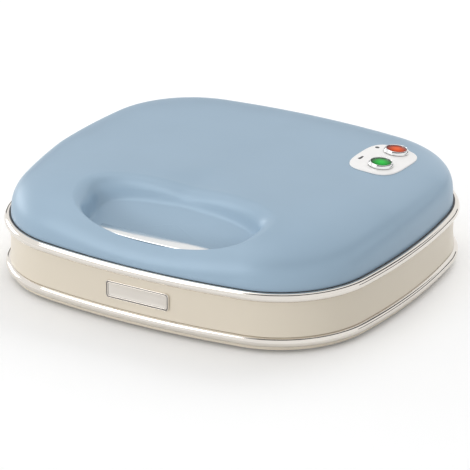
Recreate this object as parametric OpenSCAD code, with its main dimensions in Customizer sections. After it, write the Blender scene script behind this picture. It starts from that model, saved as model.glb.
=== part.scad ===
// Countertop sandwich toaster: a domed lid with a finger well, hinged at the back
// of a low tub, with two cast plates that press four triangular toasts.
// +X right, +Y back, +Z up. The origin is on the worktop, under the middle.
// "h" heights are measured from the parting plane, away from it on either side.

/* [Body outline] */
// Room from the edge of the plates to each side, over the chrome bands
side_room = 16; // [15:0.5:20]
// Room from the edge of the plates to the front, for the finger well and latch
front_room = 64.5; // [63:0.5:70]
// Room from the edge of the plates to the back, for the hinges and terminals
back_room = 36.5; // [35:0.5:42]
// Radius of the long curve of the front and of the back
front_r = 462; // [380:1:600]
// Radius of the long curve of each side
side_r = 378; // [320:1:480]
// Radius of the four corners
corner_r = 64; // [58:1:68]

/* [Base] */
// Height of the parting plane over the worktop
base_h = 38; // [37:0.5:44]
// Height that the rubber feet lift the tub
foot_h = 2; // [1.5:0.5:4]
// Thickness of the tub's floor
floor_t = 2.5; // [2:0.25:3]
// Inset of the tub's wall behind the chrome bands, at its top and bottom
wall_inset = 3; // [2.9:0.1:3.4]
// Depth of the hollow curve of the wall between the bands
wall_hollow = 0.7; // [0.2:0.1:1.2]
// Inset of the tub's inner wall
tub_inset = 6; // [5.6:0.1:6.4]

/* [Chrome bands] */
// Radius of the half-round section of the bands
band_r = 2.9; // [2.5:0.1:3]
// Height of the middle of the lower band
lower_band_z = 7.2; // [6.5:0.1:8]
// Drop of the middle of the upper band under the parting plane
upper_band_drop = 2.8; // [2.7:0.1:3.4]
// Inset of the lower band from the upper one
lower_band_inset = 0.4; // [0:0.1:0.5]

/* [Lid] */
// Rise of the lid's crest over the parting plane
lid_rise = 30.5; // [29.5:0.5:36]
// Inset of the lid's edge behind the upper band
lid_inset = 4.2; // [3.8:0.1:4.6]
// Thickness of the lid's wall
lid_t = 2.4; // [2:0.1:2.6]
// Place of the crest, front to back
crest_y = -10; // [-16:1:0]
// Roundness of the lid's slope towards the front: its run and its rise
front_run = 1.7; // [1.6:0.05:2.2]
// Roundness of the rise of the lid's front slope
front_lift = 1.85; // [1.8:0.05:2.4]
// Squareness of the lid's shoulder at the back: its run
back_run = 5; // [4:0.25:6]
// Squareness of the rise of the lid's back shoulder
back_lift = 4.1; // [3.5:0.1:5]

/* [Finger well] */
// Width of the well's mouth
well_w = 132; // [120:1:136]
// Distance of the mouth's widest line from the front of the body
well_in = 46.5; // [46:0.1:47]
// Reach of the mouth from its widest line to the lip
well_front = 31.8; // [31.4:0.1:32.2]
// Reach of the mouth from its widest line towards the back
well_back = 24; // [21:0.5:25]
// Height of the well's floor over the parting plane
well_h = 8; // [7.8:0.1:8.6]
// Rise of the scooped floor from the bar to the back wall
well_rise = 14; // [10:0.5:15]
// Radius of the soft rim at the back of the well
well_round = 8; // [5:0.5:9]
// Radius of the lip at the front of the well
lip_round = 1.2; // [0.8:0.1:1.8]

/* [Plates] */
// Width of a cast plate
plate_w = 218; // [210:1:220]
// Depth of a cast plate
plate_d = 124; // [116:1:126]
// Corner radius of a plate
plate_corner = 20; // [16:1:24]
// Width of the rim outside the pockets
rim_w = 5; // [4:0.5:7]
// Width of the land between the two sandwiches
middle_w = 6; // [5:0.5:9]
// Depth of the triangular pockets
pocket_depth = 9.5; // [7:0.5:10]
// Wall of the casting round the pockets
cast_t = 2.8; // [2.2:0.1:3.2]
// Thickness of the plate's flat
flat_t = 5; // [4:0.25:5.5]
// Distance of the plates' rims from the parting plane
rim_h = 1.2; // [1:0.1:1.6]
// Half the width of the land under the cutting ridge
ridge_land = 2.5; // [2:0.25:3.5]

/* [Heating] */
// Radius of the sheathed heating element
element_r = 3.1; // [2.8:0.1:3.3]
// Distance of the element's legs from the middle
element_x = 54; // [48:1:60]
// Bend radius of the element
element_bend = 18; // [14:1:24]
// Thickness of the reflector sheet
sheet_t = 0.8; // [0.6:0.1:1]

/* [Latch] */
// Travel of the latch bar
latch_travel = 4; // [3.6:0.1:4.2]
// Half the width of the latch bar
bar_half = 40; // [36:1:42]
// Distance of the bar's back edge from the front of the body
bar_in = 29.4; // [28.8:0.1:30]
// Thickness of the bar's grip
bar_t = 2.3; // [1.8:0.1:2.8]
// Distance of the two hooks from the middle
hook_x = 26; // [22:1:28]
// Width of a hook
hook_w = 8; // [6:0.5:10]
// Overlap of the hook's nose with the striker
hook_bite = 1.8; // [1.4:0.1:2.2]

/* [Hinge] */
// Distance of the two hinges from the middle
hinge_x = 38; // [34:1:46]
// Distance of the hinge pins behind the upper band
hinge_back = 5.8; // [5.7:0.1:7]
// Height of the hinge pins over the parting plane
hinge_h = 2.5; // [2.5:0.1:3.5]
// Radius of a hinge pin
pin_r = 2; // [1.8:0.1:2.4]
// Radius of the knuckles
knuckle_r = 5; // [4.6:0.1:5]
// Width of the lid's knuckle
knuckle_w = 12; // [10:0.5:14]
// Thickness of each ear of the bracket
ear_t = 5.7; // [4.5:0.1:6.5]

/* [Indicator lamps] */
// Distance of the panel's middle from the body's side
panel_in = 48.5; // [46:0.5:50]
// Distance of the panel's middle from the body's back
panel_back = 65.5; // [63:0.5:70]
// Width of the panel
panel_w = 29.5; // [28:0.5:31]
// Depth of the panel
panel_d = 45; // [42:0.5:48]
// Thickness of the panel
panel_t = 0.8; // [0.6:0.1:1.2]
// Distance between the two lamps
lamp_gap = 24; // [19:0.5:24.5]
// Lean of the line of lamps towards the lid's middle
lamp_lean = 1.3; // [0:0.1:1.8]
// Radius of the lamps' chrome bezels at their foot
bezel_r = 7.5; // [7:0.1:8]
// Radius of the lamps' lenses
lens_r = 5.7; // [5:0.1:5.9]

/* [Cord inlet] */
// Radius of the inlet's bore
inlet_r = 3.4; // [3:0.1:3.8]
// Height of the inlet over the worktop
inlet_z = 19; // [18:0.5:22]
// Length of the inlet's bore
inlet_l = 16; // [14:0.5:18]

/* [Fits] */
// Gap between pieces that rest on each other's curved or edge faces
seat_gap = 0.3; // [0.2:0.05:0.4]
// Radial clearance of the hinge pins in the lid's knuckles
pin_fit = 0.06; // [0.03:0.01:0.09]
// Radius of the screws
screw_r = 1.5; // [1.3:0.1:1.7]

/* [Hidden] */
$fn = 48;
eps = 0.01;

// ---- Size over the chrome bands, and the edges that pieces are placed from ----
body_w = plate_w + 2 * side_room;
body_d = plate_d + front_room + back_room;
plate_y = (front_room - back_room) / 2;
front_y = -body_d / 2;
back_y = body_d / 2;
side_x = body_w / 2;
bar_back_y = front_y + bar_in;
panel_x = side_x - panel_in;
panel_y = back_y - panel_back;

// ---- Plan outline: four long arcs joined by four tangent corner arcs ----
front_c = [0, front_r - body_d / 2];
side_c = [body_w / 2 - side_r, 0];
centre_gap = norm(side_c - front_c);
along = (pow(front_r - corner_r, 2) - pow(side_r - corner_r, 2) + pow(centre_gap, 2)) / (2 * centre_gap);
aside = sqrt(pow(front_r - corner_r, 2) - along * along);
unit = (side_c - front_c) / centre_gap;
corner_c = front_c + along * unit + aside * [-unit[1], unit[0]];
front_a = atan2(corner_c[1] - front_c[1], corner_c[0] - front_c[0]);
side_a = atan2(corner_c[1] - side_c[1], corner_c[0] - side_c[0]);
// Each arc: centre x, centre y, radius, first angle, sweep, steps
arcs = [
  [0, front_c[1], front_r, -180 - front_a, 180 + 2 * front_a, 16],
  [corner_c[0], corner_c[1], corner_r, front_a, side_a - front_a, 12],
  [side_c[0], 0, side_r, side_a, -2 * side_a, 10],
  [corner_c[0], -corner_c[1], corner_r, -side_a, side_a - front_a, 9],
  [0, -front_c[1], front_r, -front_a, 180 + 2 * front_a, 12],
  [-corner_c[0], -corner_c[1], corner_r, 180 + front_a, side_a - front_a, 9],
  [-side_c[0], 0, side_r, 180 + side_a, -2 * side_a, 10],
  [-corner_c[0], corner_c[1], corner_r, 180 - side_a, side_a - front_a, 12]
];
function polar(r, a) = r * [cos(a), sin(a)];
function outline(inset) = [
  for (s = arcs) for (k = [0:s[5] - 1]) [s[0], s[1]] + polar(s[2] - inset, s[3] + s[4] * k / s[5])
];
// Distance from p to the outline along the unit vector d
function chord(c, r, p, d) = let(m = p - c, b = m * d) -b + sqrt(b * b - m * m + r * r);
function mirrored(v, p) = [v[0] * sign(p[0]), -v[1] * sign(p[1])];
function reach(p, d, inset) = let(
  far = min(chord(front_c, front_r - inset, p, d), chord(-front_c, front_r - inset, p, d),
            chord(side_c, side_r - inset, p, d), chord(-side_c, side_r - inset, p, d)),
  hit = p + d * far,
  v = [abs(hit[0]), -abs(hit[1])] - corner_c,
  a = atan2(v[1], v[0])
) a > front_a && a < side_a ? chord(mirrored(corner_c, hit), corner_r - inset, p, d) : far;

// ---- Lid surface ----
// "s" is 0 at the crest and 1 at the lid's edge. The slope is round towards the front
// and square at the back.
crest = [0, crest_y];
function towards_front(d) = max(0, -d[1]);
function swell(s, d) = let(
  w = towards_front(d),
  run = back_run + (front_run - back_run) * w,
  lift = back_lift + (front_lift - back_lift) * w
) pow(max(0, 1 - pow(s, run)), 1 / lift);
function lid_z(p, inset, rise) = let(
  v = p - crest,
  l = max(norm(v), eps),
  d = v / l
) base_h + rise * swell(min(1, l / reach(crest, d, inset)), d);
function outer_z(p) = lid_z(p, lid_inset, lid_rise);
function inner_z(p) = lid_z(p, lid_inset + lid_t, lid_rise - lid_t);
// A ring of the lid between its edge and its crest
function lid_ring(inset, rise, s) = [
  for (o = outline(inset)) let(v = o - crest, p = crest + v * s)
    [p[0], p[1], base_h + rise * swell(s, v / norm(v))]
];

// ---- Finger well ----
// Its mouth is a long oval, rounder at the back; every ring of the lid has a point in
// the same direction from the well's middle.
well_y = front_y + well_in;
well_c = [0, well_y];
front_power = 2.5;
back_power = 2.3;
function mouth_r(d, shrink) = let(
  reach_y = (d[1] < 0 ? well_front : well_back) - shrink,
  reach_x = well_w / 2 - shrink,
  power = d[1] < 0 ? front_power : back_power
) pow(pow(abs(d[0]) / reach_x, power) + pow(abs(d[1]) / reach_y, power), -1 / power);
function from_well(o) = let(v = o - well_c) v / norm(v);
rays = [for (o = outline(lid_inset)) from_well(o)];
function at_ray(k, shrink) = well_c + rays[k] * mouth_r(rays[k], shrink);
function ease(t) = let(u = min(1, max(0, t))) u * u * (3 - 2 * u);
// The rim is sharp along the lip and soft round both ends and the back
sharp_to = 6;
soft_over = 20;
function rim_round(k) = lip_round
  + (well_round - lip_round) * ease((at_ray(k, 0)[1] - well_y + well_front - sharp_to) / soft_over);
mouth_z = [for (k = [0:len(rays) - 1]) outer_z(at_ray(k, 0))];
well_z = base_h + well_h;
rim_turn = 75;
wall_slope = tan(rim_turn);
// The floor is level under the bar and climbs ever steeper to the back
scoop_y = bar_back_y - 2.5;
scoop = well_rise / pow(well_y + well_back - well_round - scoop_y, 2);
function floor_z(y) = well_z + scoop * pow(max(0, y - scoop_y), 2);
floor_blend = 5;
function blend_up(a, b) = max(a, b) + pow(max(0, floor_blend - abs(a - b)), 2) / (4 * floor_blend);
// Depth of the rim and wall under the mouth, "t" inside it
function wall_drop(t, r) = t < r * sin(rim_turn)
  ? r - sqrt(r * r - t * t)
  : r * (1 - cos(rim_turn)) + (t - r * sin(rim_turn)) * wall_slope;
function rim_in(k, a) = rim_round(k) * sin(a);
// Where the wall meets the floor
function foot_in(k) = let(t = rim_in(k, rim_turn))
  t + max(0.3, mouth_z[k] - wall_drop(t, rim_round(k)) - floor_z(at_ray(k, t)[1])) / wall_slope;
function well_point(k, t, g) = let(
  p = well_c + rays[k] * mouth_r(rays[k], t) * g,
  wall = mouth_z[k] - wall_drop(t, rim_round(k))
) [p[0], p[1], t == 0 ? mouth_z[k] : blend_up(floor_z(p[1]), wall)];
function under_point(k, t, g, drop) = let(
  p = well_c + rays[k] * mouth_r(rays[k], t) * g
) [p[0], p[1], floor_z(p[1]) - drop];
all_rays = [0:len(rays) - 1];
shoulder = [1, 0.998, 0.992, 0.98, 0.965, 0.95];
crown_steps = [0.025, 0.07, 0.14, 0.26, 0.42, 0.6, 0.78, 0.91];
last_s = shoulder[len(shoulder) - 1];
crown_edge = lid_ring(lid_inset, lid_rise, last_s);
inner_edge = lid_ring(lid_inset + lid_t, lid_rise - lid_t, last_s);
function crown_ring(t, edge, grow, outer) = [
  for (k = all_rays) let(
    a = [edge[k][0], edge[k][1]],
    p = a + (at_ray(k, -grow) - a) * t
  ) [p[0], p[1], outer ? outer_z(p) : inner_z(p)]
];
inner_mouth = crown_ring(1, inner_edge, lid_t, false);
floor_in = 6;
lid_rings = concat(
  [for (g = [0.1, 0.4, 0.7]) [for (k = all_rays) well_point(k, foot_in(k) + floor_in, g)]],
  [for (t = [floor_in, 3, 1.2, 0]) [for (k = all_rays) well_point(k, foot_in(k) + t, 1)]],
  [for (a = [rim_turn, 50, 25, 0]) [for (k = all_rays) well_point(k, rim_in(k, a), 1)]],
  [for (i = [len(crown_steps) - 1:-1:0]) crown_ring(crown_steps[i], crown_edge, 0, true)],
  [for (i = [len(shoulder) - 1:-1:0]) lid_ring(lid_inset, lid_rise, shoulder[i])],
  [for (s = [1, 0.995, 0.975, last_s]) lid_ring(lid_inset + lid_t, lid_rise - lid_t, s)],
  [for (t = [0.08, 0.3, 0.65]) crown_ring(t, inner_edge, lid_t, false)],
  [inner_mouth],
  [[for (k = all_rays) let(
    p = at_ray(k, rim_in(k, rim_turn) - lid_t),
    rim_low = mouth_z[k] - wall_drop(rim_in(k, rim_turn), rim_round(k))
  ) [p[0], p[1], max(floor_z(p[1]) - lid_t + 0.6, min(inner_mouth[k][2], rim_low - 0.5))]]],
  [[for (k = all_rays) under_point(k, foot_in(k) - lid_t * 0.6, 1, lid_t)]],
  [[for (k = all_rays) under_point(k, foot_in(k) + floor_in, 1, lid_t)]],
  [for (g = [0.7, 0.4, 0.1]) [for (k = all_rays) under_point(k, foot_in(k) + floor_in, g, lid_t)]]
);

// A closed solid through rings of points that run counter-clockwise seen from above.
// The first ring is the top one, or the inner one of a shell's upper face.
module loft(rings) {
  n = len(rings[0]);
  m = len(rings);
  polyhedron(
    points = [for (r = rings) each r],
    faces = concat(
      [[for (j = [n - 1:-1:0]) j]],
      [for (i = [0:m - 2]) for (j = [0:n - 1]) [i * n + j, (i + 1) * n + (j + 1) % n, (i + 1) * n + j]],
      [for (i = [0:m - 2]) for (j = [0:n - 1]) [i * n + j, i * n + (j + 1) % n, (i + 1) * n + (j + 1) % n]],
      [[for (j = [0:n - 1]) (m - 1) * n + j]]
    )
  );
}

// A section carried round the outline: its points are [inset, height], and they run
// upwards on the outside
module hoop(section) {
  rings = [for (p = section) [for (o = outline(p[0])) [o[0], o[1], p[1]]]];
  n = len(rings[0]);
  m = len(rings);
  polyhedron(
    points = [for (r = rings) each r],
    faces = [for (i = [0:m - 1]) for (j = [0:n - 1]) let(u = (i + 1) % m, v = (j + 1) % n)
      [i * n + j, u * n + j, u * n + v, i * n + v]]
  );
}

// Turns the upper half's pieces over into the lower half
module lower_half() {
  translate([0, 0, base_h])
    mirror([0, 0, 1])
      children();
}
module upper_half() {
  translate([0, 0, base_h])
    children();
}

module rounded(w, d, r) {
  square([w - 2 * r, d], center = true);
  square([w, d - 2 * r], center = true);
  for (x = [-1, 1])
    for (y = [-1, 1])
      translate([x * (w / 2 - r), y * (d / 2 - r)])
        circle(r = r);
}

// A pan-head screw that points up, its head under z = 0
head_r = 2 * screw_r;
head_h = 1.6;
module screw(length) {
  cylinder(r = screw_r, h = length, $fn = 24);
  translate([0, 0, -head_h])
    difference() {
      cylinder(r = head_r, h = head_h, $fn = 24);
      translate([0, 0, -eps])
        cylinder(r = head_r * 0.42, h = head_h * 0.55, $fn = 6);
    }
}

// ---- Where the two halves' fastenings stand ----
post_spots = [for (q = [[41, front_y + 34.5], [55, back_y - 20.5]]) for (x = [1, -1])
  [x * (side_x - q[0]), q[1]]];
lid_post_spots = [for (q = [[33, front_y + 51.5], [53, back_y - 26.5]]) for (x = [1, -1])
  [x * (side_x - q[0]), q[1]]];
foot_spots = [for (y = [front_y + 56.5, back_y - 50.5]) for (x = [1, -1]) [x * (side_x - 29), y]];
ear_x = 55;
ear_out = 5;
ear_spots = [for (x = [-1, 1]) for (y = [-1, 1]) [x * ear_x, plate_y + y * (plate_d / 2 + ear_out)]];
stud_spots = [[0, plate_y - 34], [0, plate_y + 36]];
screw_clear = screw_r + 0.2;
post_r = 4.5;
deck_t = 2.5;
deck_h = rim_h + deck_t;
boss_h = 12;
ear_h = deck_h + 3.3;
ear_t_cast = 3;
stud_r = 3.5;
pocket_h = rim_h + pocket_depth;
boss_top_h = pocket_h + cast_t;
element_h = boss_top_h + element_r;
reflector_gap = 1;
reflector_h = element_h + element_r + reflector_gap;

// ---- Base ----
upper_band_z = base_h - upper_band_drop;
wall_top = base_h - 0.6;
band_seat = lower_band_inset + band_r + 0.1;
hollow_low = lower_band_z + band_r + 0.2;
hollow_high = upper_band_z - band_r - 0.2;
hollow_steps = 8;
wall_section = concat(
  [[band_seat + 0.8, foot_h], [band_seat, foot_h + 0.8], [band_seat, hollow_low - 0.1]],
  [for (i = [0:hollow_steps]) let(t = i / hollow_steps)
    [wall_inset + wall_hollow * (1 - pow(2 * t - 1, 2)), hollow_low + (hollow_high - hollow_low) * t]],
  [[wall_inset, wall_top - 0.4], [wall_inset + 0.4, wall_top], [tub_inset, wall_top], [tub_inset, foot_h]]
);
back_wall_y = body_d / 2 - wall_inset - wall_hollow;
gland_neck_r = inlet_r + 1.8;
gland_seat_y = back_y - wall_inset + 0.1;
bracket_screw_z = 22;
bracket_screw_x = 7.5;
vent_l = 34;
vent_w = 3;
vent_rows = 5;

module base_shell() {
  color("antiquewhite")
    difference() {
      union() {
        hoop(wall_section);
        translate([0, 0, foot_h])
          linear_extrude(floor_t)
            polygon(outline(tub_inset - 1));
        for (p = post_spots)
          translate([p[0], p[1], foot_h])
            cylinder(r = post_r, h = base_h - boss_h - foot_h);
      }
      for (p = post_spots)
        translate([p[0], p[1], foot_h - eps]) {
          cylinder(r = screw_clear, h = base_h);
          cylinder(r = head_r + 0.3, h = floor_t + head_h + 2 * eps);
        }
      for (p = foot_spots)
        translate([p[0], p[1], foot_h - eps])
          cylinder(r = foot_plug_r + 0.1, h = floor_t + 1);
      translate([0, back_wall_y - 8, inlet_z])
        rotate([-90, 0, 0])
          cylinder(r = gland_neck_r + 0.1, h = 16);
      for (side = [-1, 1])
        for (x = [-1, 1])
          translate([side * hinge_x + x * bracket_screw_x, back_wall_y - 8, bracket_screw_z])
            rotate([-90, 0, 0])
              cylinder(r = screw_clear, h = 16);
      for (side = [-1, 1])
        for (i = [0:vent_rows - 1])
          translate([side * 40 - vent_l / 2, plate_y - 20 + i * 10, foot_h - 1])
            cube([vent_l, vent_w, floor_t + 2]);
    }
}

module trim_band(z, inset) {
  color("silver")
    for (s = arcs)
      translate([s[0], s[1], 0])
        rotate_extrude(angle = s[4], start = s[3], $fn = 360)
          intersection() {
            translate([s[2] - inset - band_r, z])
              circle(r = band_r, $fn = 40);
            translate([s[2] - inset - band_r, z - band_r])
              square([band_r, 2 * band_r]);
          }
}
module lower_band() {
  trim_band(lower_band_z, lower_band_inset);
}
module upper_band() {
  trim_band(upper_band_z, 0);
}

// ---- Bare name plate on the front wall ----
name_w = 42.5;
name_edge = 5.4;
name_h = hollow_high - hollow_low - 2 * name_edge;
name_z = (hollow_high + hollow_low) / 2;
name_corner = 2;
name_t = 1.3;
name_rim = 1.1;
name_sink = 0.6;
name_back = wall_inset + wall_hollow - 0.2;
module curved_tablet(w, h, r, inset, depth) {
  intersection() {
    translate([0, -body_d / 2 + 12, name_z])
      rotate([90, 0, 0])
        linear_extrude(24)
          rounded(w, h, r);
    translate([front_c[0], front_c[1], name_z - h])
      difference() {
        cylinder(r = front_r - inset + depth, h = 2 * h, $fn = 720);
        translate([0, 0, -1])
          cylinder(r = front_r - inset, h = 2 * h + 2, $fn = 720);
      }
  }
}
module name_plate() {
  color("lightgray")
    difference() {
      curved_tablet(name_w, name_h, name_corner, name_back, name_t);
      curved_tablet(name_w - 2 * name_rim, name_h - 2 * name_rim, name_corner - name_rim * 0.6,
                    name_back - name_t + name_sink, 2);
    }
}

// ---- Frames round the plates ----
plate_gap = 0.5;
frame_wall_h = 5;
frame_wall_t = 1.6;
hook_clear = 0.7;
hook_y = front_y + 21.5;
hook_t = 3;
nose_y = hook_y + hook_t;
striker_y = nose_y + 2.6 - hook_bite;
slot_front = hook_y - latch_travel - hook_clear;
slot_back = nose_y + 2.6 + hook_clear;
module hook_slots() {
  for (x = [-hook_x, hook_x])
    translate([x - hook_w / 2 - hook_clear, slot_front, 0])
      cube([hook_w + 2 * hook_clear, slot_back - slot_front, deck_h + 1]);
}
// The deck between the wall and the plate, with its bosses for posts and plate screws
module frame(inset, posts, post_len) {
  difference() {
    union() {
      translate([0, 0, rim_h])
        linear_extrude(deck_t)
          difference() {
            polygon(outline(inset));
            translate([0, plate_y])
              rounded(plate_w + 2 * plate_gap, plate_d + 2 * plate_gap, plate_corner + plate_gap);
          }
      for (p = posts)
        translate([p[0], p[1], rim_h])
          cylinder(r = post_r, h = post_len);
      for (p = ear_spots)
        translate([p[0], p[1], deck_h - 1])
          cylinder(r = post_r, h = ear_h - deck_h + 1 - 0.05);
    }
    for (p = ear_spots)
      translate([p[0], p[1], rim_h + 1])
        cylinder(r = screw_r + 0.05, h = boss_h, $fn = 24);
    hook_slots();
  }
}
module base_frame() {
  color("dimgray")
    lower_half()
      difference() {
        union() {
          frame(tub_inset + seat_gap, post_spots, boss_h - rim_h);
          for (p = striker_spots)
            translate([p[0], p[1], deck_h - 1])
              cylinder(r = 3.6, h = striker_h - deck_h + 1);
        }
        for (p = post_spots)
          translate([p[0], p[1], rim_h + 1.5])
            cylinder(r = screw_r + 0.05, h = boss_h, $fn = 24);
        for (p = striker_spots)
          translate([p[0], p[1], rim_h + 1])
            cylinder(r = screw_r + 0.05, h = boss_h, $fn = 24);
      }
}
lid_frame_inset = lid_inset + lid_t + 1.5;
spring_x = 33.5;
spring_r = 1.7;
spring_front = front_y + 13.3;
spring_back = front_y + 19.4;
module lid_frame() {
  color("dimgray")
    upper_half()
      difference() {
        frame(lid_frame_inset, [], 0);
        for (p = lid_post_spots)
          translate([p[0], p[1], 0])
            cylinder(r = screw_clear, h = boss_h, $fn = 24);
        for (x = [-spring_x, spring_x])
          translate([x - spring_r - 0.4, spring_front - seat_gap, 0])
            cube([2 * spring_r + 0.8, spring_back - spring_front + 1.4 + seat_gap, deck_h + 1]);
        for (x = [-hinge_x, hinge_x])
          translate([x, arm_screw_y, 0])
            cylinder(r = screw_r + 0.05, h = boss_h, $fn = 24);
      }
}

// ---- Cast plates with triangular pockets ----
pocket_w = (plate_w - 2 * rim_w - middle_w) / 2;
pocket_d = plate_d - 2 * rim_w;
diagonal = norm([pocket_w, pocket_d]);
leg_x = pocket_w - ridge_land * diagonal / pocket_d;
leg_y = pocket_d - ridge_land * diagonal / pocket_w;
pocket_round = 9;
corner_steps = 4;
// Corner k of a triangle, drawn in by "inset" and rounded
function turned(p) = atan2(p[1], p[0]);
function corner_arc(tri, k, inset, r) = let(
  a = tri[(k + 2) % 3],
  b = tri[k],
  c = tri[(k + 1) % 3],
  into = turned(b - a) - 90,
  raw = turned(c - b) - 90,
  out = raw < into ? raw + 360 : raw,
  half = (180 - (out - into)) / 2,
  mid = b - polar((inset + r) / sin(half), (into + out) / 2)
) [for (i = [0:corner_steps]) mid + polar(r, into + (out - into) * i / corner_steps)];
function tri_ring(tri, inset, h) = [
  for (k = [0:2]) for (p = corner_arc(tri, k, inset, max(3, pocket_round - inset * 0.35))) [p[0], p[1], h]
];
// [inset, depth] of the pocket's wall, from its floor to its mouth
dish = [[20, 1], [11, 0.95], [5.5, 0.76], [2.2, 0.42], [0.4, 0]];
module pocket(tri) {
  loft(concat(
    [for (q = dish) tri_ring(tri, q[0], rim_h + pocket_depth * q[1] + (q[1] == 0 ? 0.6 : 0))],
    [tri_ring(tri, 0, rim_h - 2)]
  ));
}
module pocket_wall(tri) {
  loft([
    for (q = [[17.5, 1], [9, 0.96], [3.4, 0.8], [0, 0.52], [-2, 0.2]])
      tri_ring(tri, q[0], rim_h + cast_t + pocket_depth * q[1])
  ]);
}
// The four triangles: each sandwich is cut from its back inner to its front outer corner
module each_pocket() {
  for (side = [0, 1])
    mirror([side, 0, 0])
      translate([middle_w / 2, plate_y - pocket_d / 2, 0])
        children();
}
near_tri = [[0, 0], [leg_x, 0], [0, leg_y]];
far_tri = [[pocket_w, pocket_d], [pocket_w - leg_x, pocket_d], [pocket_w, pocket_d - leg_y]];
ridge_h = 0.3;
ridge_end = 4;
module ridge() {
  translate([0, pocket_d, 0])
    rotate([0, 0, atan2(-pocket_d, pocket_w)])
      translate([ridge_end, 0, 0])
        rotate([90, 0, 90])
          linear_extrude(diagonal - 2 * ridge_end)
            polygon([[-1.8, rim_h + 0.5], [1.8, rim_h + 0.5], [0.5, ridge_h], [-0.5, ridge_h]]);
}
module crimp_edge() {
  translate([pocket_w / 2, pocket_d / 2, rim_h - 0.5])
    linear_extrude(1)
      difference() {
        rounded(pocket_w + 2.4, pocket_d + 2.4, pocket_round + 1.2);
        rounded(pocket_w, pocket_d, pocket_round);
      }
}
module heating_plate() {
  color("darkslategray")
    difference() {
      union() {
        translate([0, plate_y, rim_h])
          linear_extrude(flat_t)
            rounded(plate_w, plate_d, plate_corner);
        each_pocket() {
          pocket_wall(near_tri);
          pocket_wall(far_tri);
          ridge();
          crimp_edge();
        }
        for (p = ear_spots) {
          translate([p[0], p[1], ear_h])
            cylinder(r = post_r + 0.5, h = ear_t_cast);
          translate([p[0] - post_r, p[1] > plate_y ? p[1] - ear_out - 5 : p[1], ear_h])
            cube([2 * post_r, ear_out + 5, ear_t_cast]);
          translate([p[0] - post_r, plate_y + sign(p[1] - plate_y) * (plate_d / 2 - 3) - 2.5, rim_h + 1])
            cube([2 * post_r, 5, ear_h - rim_h]);
        }
        for (p = stud_spots)
          translate([p[0], p[1], rim_h + 1])
            cylinder(r = stud_r, h = reflector_h - rim_h - 1);
      }
      each_pocket() {
        pocket(near_tri);
        pocket(far_tri);
      }
      for (p = ear_spots)
        translate([p[0], p[1], 0])
          cylinder(r = screw_clear, h = 40, $fn = 24);
      for (p = stud_spots)
        translate([p[0], p[1], reflector_h - 7])
          cylinder(r = screw_r + 0.05, h = 20, $fn = 24);
    }
}
module lower_plate() {
  lower_half()
    heating_plate();
}
module upper_plate() {
  upper_half()
    heating_plate();
}

// ---- Heating elements and what watches them ----
element_bend_y = plate_y - 28;
element_end_y = plate_y + 68;
cold_pin_l = 6;
module element() {
  color("gray")
    translate([0, 0, element_h]) {
      for (side = [-1, 1]) {
        translate([side * element_x, element_bend_y, 0])
          rotate([-90, 0, 0])
            cylinder(r = element_r, h = element_end_y - element_bend_y);
        translate([side * element_x, element_end_y, 0])
          rotate([-90, 0, 0])
            cylinder(r = element_r * 0.4, h = cold_pin_l, $fn = 24);
      }
      translate([element_x - element_bend, element_bend_y, 0])
        rotate_extrude(angle = 90, start = 270, $fn = 72)
          translate([element_bend, 0])
            circle(r = element_r);
      translate([-element_x + element_bend, element_bend_y, 0])
        rotate_extrude(angle = 90, start = 180, $fn = 72)
          translate([element_bend, 0])
            circle(r = element_r);
      translate([-element_x + element_bend, element_bend_y - element_bend, 0])
        rotate([0, 90, 0])
          cylinder(r = element_r, h = 2 * (element_x - element_bend));
    }
}
module lower_element() {
  lower_half()
    element();
}
module upper_element() {
  upper_half()
    element();
}
reflector_w = plate_w - 2 * 43;
reflector_d = plate_d - 2 * 16;
reflector_fold = reflector_gap - seat_gap;
module reflector() {
  color("lightsteelblue")
    translate([0, plate_y - 1, reflector_h])
      difference() {
        union() {
          linear_extrude(sheet_t)
            rounded(reflector_w, reflector_d, 12);
          translate([0, 0, -reflector_fold])
            linear_extrude(reflector_fold + eps)
              difference() {
                rounded(reflector_w, reflector_d, 12);
                rounded(reflector_w - 2 * sheet_t, reflector_d - 2 * sheet_t, 12 - sheet_t);
              }
        }
        for (p = stud_spots)
          translate([p[0], p[1] - plate_y + 1, -1])
            cylinder(r = screw_clear, h = 4, $fn = 24);
      }
}
module lower_reflector() {
  lower_half()
    reflector();
}
module upper_reflector() {
  upper_half()
    reflector();
}
sensor_spot = [middle_w / 2 + 30, plate_y - pocket_d / 2 + 30];
module disc_thermostat() {
  color("saddlebrown")
    translate([sensor_spot[0], sensor_spot[1], boss_top_h]) {
      cylinder(r = 7, h = 2);
      translate([0, 0, 2])
        cylinder(r = 6, h = 3.4);
      for (x = [-1, 1])
        translate([x * 7.5 - 2, -1.5, 4.2])
          cube([4, 3, 0.8]);
    }
}
module thermostat() {
  lower_half()
    disc_thermostat();
}
module upper_thermostat() {
  upper_half()
    disc_thermostat();
}
fuse_r = 2.2;
module thermal_fuse() {
  color("gainsboro")
    lower_half()
      translate([-sensor_spot[0], sensor_spot[1], boss_top_h + fuse_r + 0.05])
        rotate([0, 90, 0]) {
          cylinder(r = fuse_r, h = 11, center = true);
          cylinder(r = 0.6, h = 20, center = true, $fn = 16);
        }
}
block_w = 30;
block_d = 12;
block_h = 11;
block_x = -32;
block_y = back_y - 22.5;
module terminal_block() {
  color("ivory")
    translate([block_x, block_y, foot_h + floor_t])
      difference() {
        translate([-block_w / 2, -block_d / 2, 0])
          cube([block_w, block_d, block_h]);
        for (i = [-1, 0, 1]) {
          translate([i * 9, 0, block_h - 5])
            cylinder(r = 2, h = 6, $fn = 24);
          translate([i * 9, -block_d, 4])
            rotate([-90, 0, 0])
              cylinder(r = 1.6, h = 2 * block_d, $fn = 24);
        }
      }
}
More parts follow.
